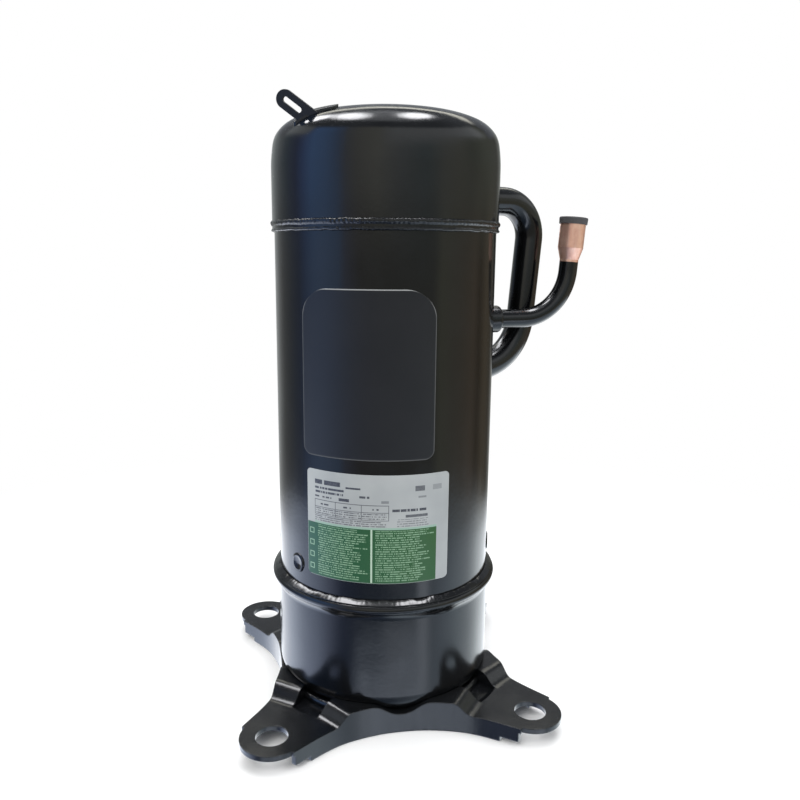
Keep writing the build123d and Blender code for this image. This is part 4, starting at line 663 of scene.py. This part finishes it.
low_z = cad_box[0][2]
ground = floor_mesh(12.0, low_z - 0.0005)
gm = bpy.data.materials.new("floor_pale")
gm.use_nodes = True
gm.node_tree.nodes.clear()
g = G(gm.node_tree)
out = g.n("ShaderNodeOutputMaterial")
dif = g.n("ShaderNodeBsdfDiffuse")
p = g.coords()
g.put(dif.inputs["Color"], g.mix(g.noise(p, 6.0, 3.0, 0.5), (0.90, 0.90, 0.90), (0.93, 0.93, 0.93)))
glow = g.n("ShaderNodeEmission")
glow.inputs[0].default_value = (1.0, 1.0, 1.0, 1.0)
far = g.vmath("LENGTH", p)
blend = g.n("ShaderNodeMixShader")
g.put(blend.inputs[0], g.remap(far, 0.22, 0.62, 0.0, 1.0, True))
g.t.links.new(dif.outputs[0], blend.inputs[1])
g.t.links.new(glow.outputs[0], blend.inputs[2])
g.t.links.new(blend.outputs[0], out.inputs[0])
ground.data.materials.append(gm)
ground.visible_glossy = False


# --------------------------------------------------------------------------- studio
def lamp(name, where, look, size, power, color=(1.0, 1.0, 1.0)):
    d = bpy.data.lights.new(name, "AREA")
    d.shape = "RECTANGLE"
    d.size, d.size_y = size
    d.energy = power
    d.color = color
    o = bpy.data.objects.new(name, d)
    bpy.context.scene.collection.objects.link(o)
    o.location = where
    o.rotation_mode = "QUATERNION"
    o.rotation_quaternion = (Vector(look) - Vector(where)).to_track_quat("-Z", "Y")
    o.visible_glossy = False
    return o


lamp("key_soft", (-1.1, -1.3, 1.7), (0, 0, 0.15), (1.4, 1.4), 30.0, (1.0, 0.99, 0.97))
lamp("fill_soft", (1.5, -0.8, 1.2), (0, 0, 0.15), (1.2, 1.2), 14.0, (0.97, 0.98, 1.0))
lamp("top_soft", (0.1, 0.5, 2.1), (0, 0, 0.1), (2.2, 2.2), 36.0)
lamp("back_soft", (0.2, 1.8, 1.2), (0, 0, 0.2), (1.5, 1.2), 12.0)

world = bpy.data.worlds.new("studio")
bpy.context.scene.world = world
world.use_nodes = True
world.cycles.sampling_method = "NONE"      # the room differs by ray kind, so it isn't sampled as a lamp
world.node_tree.nodes.clear()
g = G(world.node_tree)
out = g.n("ShaderNodeOutputWorld")
back = g.n("ShaderNodeBackground")
room = g.n("ShaderNodeBackground")
fillb = g.n("ShaderNodeBackground")
back.inputs[0].default_value = (1.0, 1.0, 1.0, 1.0)
back.inputs[1].default_value = 1.0
fillb.inputs[0].default_value = (0.96, 0.98, 1.0, 1.0)
fillb.inputs[1].default_value = 0.55

direction = g.n("ShaderNodeTexCoord").outputs["Generated"]
dx, dy, dz = g.split(direction)
camang = g.n("ShaderNodeValue")
camera_angle(world.node_tree, camang.outputs[0])
# angle from the camera's own azimuth, -180..180, growing towards the picture's right
raw = g.math("ARCTAN2", dy, dx) - S(g, camang.outputs[0])
turn = raw / (2 * pi)
alpha = (turn + 0.5).fract() * 360.0 - 180.0
elev = g.math("ARCSINE", dz) * (180 / pi)
K = 4.0    # ramp colours are stored divided by K


def wall(stops):
    return g.ramp(g.remap(alpha, -180.0, 180.0), [((a + 180.0) / 360.0, tuple(x / K for x in c)) for a, c in stops], "EASE" if False else "LINEAR")


low_wall = wall([
    (-180, (.62, .65, .64)), (-149, (.48, .50, .50)), (-130, (.27, .28, .28)), (-116, (.24, .26, .28)),
    (-97, (.20, .25, .38)), (-88, (.26, .38, .70)), (-77, (.42, .64, 1.10)), (-66, (.50, .73, 1.20)),
    (-47, (.42, .62, 1.0)), (-41, (.39, .43, .58)), (-25, (.30, .29, .27)), (0, (.29, .29, .25)),
    (50, (.31, .31, .26)), (59, (.56, .56, .41)), (76, (.50, .46, .36)), (103, (.44, .35, .25)),
    (114, (.19, .15, .10)), (127, (.27, .22, .15)), (146, (.10, .09, .07)), (166, (.45, .46, .44)), (180, (.62, .65, .64))])
high_wall = wall([
    (-180, (.62, .64, .64)), (-150, (.44, .48, .48)), (-130, (.34, .38, .40)), (-114, (.23, .29, .35)),
    (-98, (.20, .25, .45)), (-88, (.30, .48, 1.05)), (-76, (.45, .85, 1.75)), (-60, (.46, .82, 1.60)),
    (-46, (.42, .62, 1.05)), (-39, (.52, .56, .64)), (-28, (.65, .65, .60)), (-8, (.84, .84, .74)),
    (12, (.62, .66, .66)), (40, (.45, .55, .56)), (58, (.62, .64, .58)), (76, (.60, .60, .50)),
    (92, (.42, .44, .36)), (112, (.38, .40, .32)), (142, (.15, .15, .13)), (162, (.36, .38, .36)), (180, (.62, .64, .64))])
ground_glow = wall([
    (-180, (1.9, 2.0, 2.1)), (-142, (2.3, 2.4, 2.6)), (-113, (2.4, 2.7, 3.3)), (-92, (1.9, 2.2, 2.9)),
    (-76, (1.6, 1.9, 2.6)), (-60, (.93, 1.1, 1.6)), (-45, (.25, .33, .58)), (-20, (.14, .20, .32)),
    (8, (.18, .25, .36)), (27, (.42, .52, .66)), (44, (.62, .76, .92)), (54, (.85, 1.02, 1.22)),
    (68, (1.06, 1.26, 1.5)), (84, (1.3, 1.55, 1.75)), (104, (1.5, 1.7, 1.85)), (126, (2.3, 2.5, 2.6)),
    (150, (2.1, 2.2, 2.3)), (180, (1.9, 2.0, 2.1))])
sky = g.mix(g.remap(elev, 58.0, 74.0, 0.0, 1.0, True), (0.26 / K, 0.28 / K, 0.31 / K), (1.25 / K, 1.3 / K, 1.38 / K))
env = g.mix(g.remap(elev, -2.0, 7.0, 0.0, 1.0, True), low_wall, high_wall)
env = g.mix(g.remap(elev, -17.0, -22.0, 0.0, 1.0, True), env, ground_glow)


def softbox(a0, a1, e0, e1, soft_a, soft_e, value):
    global env
    fa = g.remap(alpha, a0 - soft_a, a0 + soft_a, 0.0, 1.0, True) * g.remap(alpha, a1 - soft_a, a1 + soft_a, 1.0, 0.0, True)
    fe = g.remap(elev, e0 - soft_e, e0 + soft_e, 0.0, 1.0, True) * g.remap(elev, e1 - soft_e, e1 + soft_e, 1.0, 0.0, True)
    env = g.mix(fa * fe, env, tuple(x / K for x in value))


softbox(0, 118, 19, 60, 10, 4, (0.98, 1.02, 1.04))
softbox(-128, -86, 22, 60, 6, 6, (0.80, 0.86, 0.90))
env = g.mix(g.remap(elev, 34.0, 44.0, 0.0, 1.0, True), env, sky)
# directions seen from above: across the picture, and towards the camera
flat = g.math("COSINE", elev * (pi / 180))
across = flat * g.math("SINE", alpha * (pi / 180))
near = flat * g.math("COSINE", alpha * (pi / 180))


def overhead(u0, v0, ru, rv, soft, value):
    """An oval lamp above the object."""
    global env
    du, dv = (across - u0) / ru, (near - v0) / rv
    d = g.math("SQRT", du * du + dv * dv)
    f = g.remap(d, 1.0 + soft, 1.0 - soft, 0.0, 1.0, True) * dz.gt(0.0)
    env = g.mix(f, env, tuple(x / K for x in value))


overhead(-0.29, -0.10, 0.14, 0.25, 0.50, (17.0, 17.0, 17.5))
overhead(0.23, -0.13, 0.12, 0.22, 0.45, (17.0, 17.0, 17.5))
overhead(-0.48, -0.44, 0.12, 0.12, 0.50, (14.0, 14.0, 14.5))
# dark wall far behind, a window above it, and the dark edge above that
back_f = g.remap(near, -0.50, -0.62, 0.0, 1.0, True)
env = g.mix(back_f * g.remap(elev, 14.0, 20.0, 0.0, 1.0, True) * g.remap(elev, 44.0, 48.0, 1.0, 0.0, True), env,
            tuple(x / K for x in (0.30, 0.32, 0.35)))
env = g.mix(back_f * g.remap(elev, 36.5, 39.0, 0.0, 1.0, True) * g.remap(elev, 44.0, 48.0, 1.0, 0.0, True), env,
            tuple(x / K for x in (2.8, 2.75, 2.45)))
# pale patches low in front, seen in the cup
softbox(-30, 46, -37.0, -30.6, 7, 1.0, (2.3, 2.6, 3.1))
softbox(37, 50, -32.0, -20.5, 5, 1.5, (1.9, 2.1, 2.4))
softbox(0, 33, -28.9, -27.7, 8, 0.5, (2.8, 3.0, 3.3))
g.put(room.inputs[0], env)
room.inputs[1].default_value = K

path = g.n("ShaderNodeLightPath")
m1 = g.n("ShaderNodeMixShader")
m2 = g.n("ShaderNodeMixShader")
g.t.links.new(path.outputs["Is Glossy Ray"], m1.inputs[0])
g.t.links.new(fillb.outputs[0], m1.inputs[1])
g.t.links.new(room.outputs[0], m1.inputs[2])
g.t.links.new(path.outputs["Is Camera Ray"], m2.inputs[0])
g.t.links.new(m1.outputs[0], m2.inputs[1])
g.t.links.new(back.outputs[0], m2.inputs[2])
g.t.links.new(m2.outputs[0], out.inputs[0])

scene = bpy.context.scene
scene.view_settings.view_transform = "Standard"
scene.view_settings.look = "None"
scene.view_settings.exposure = 0.0
scene.view_settings.gamma = 1.0
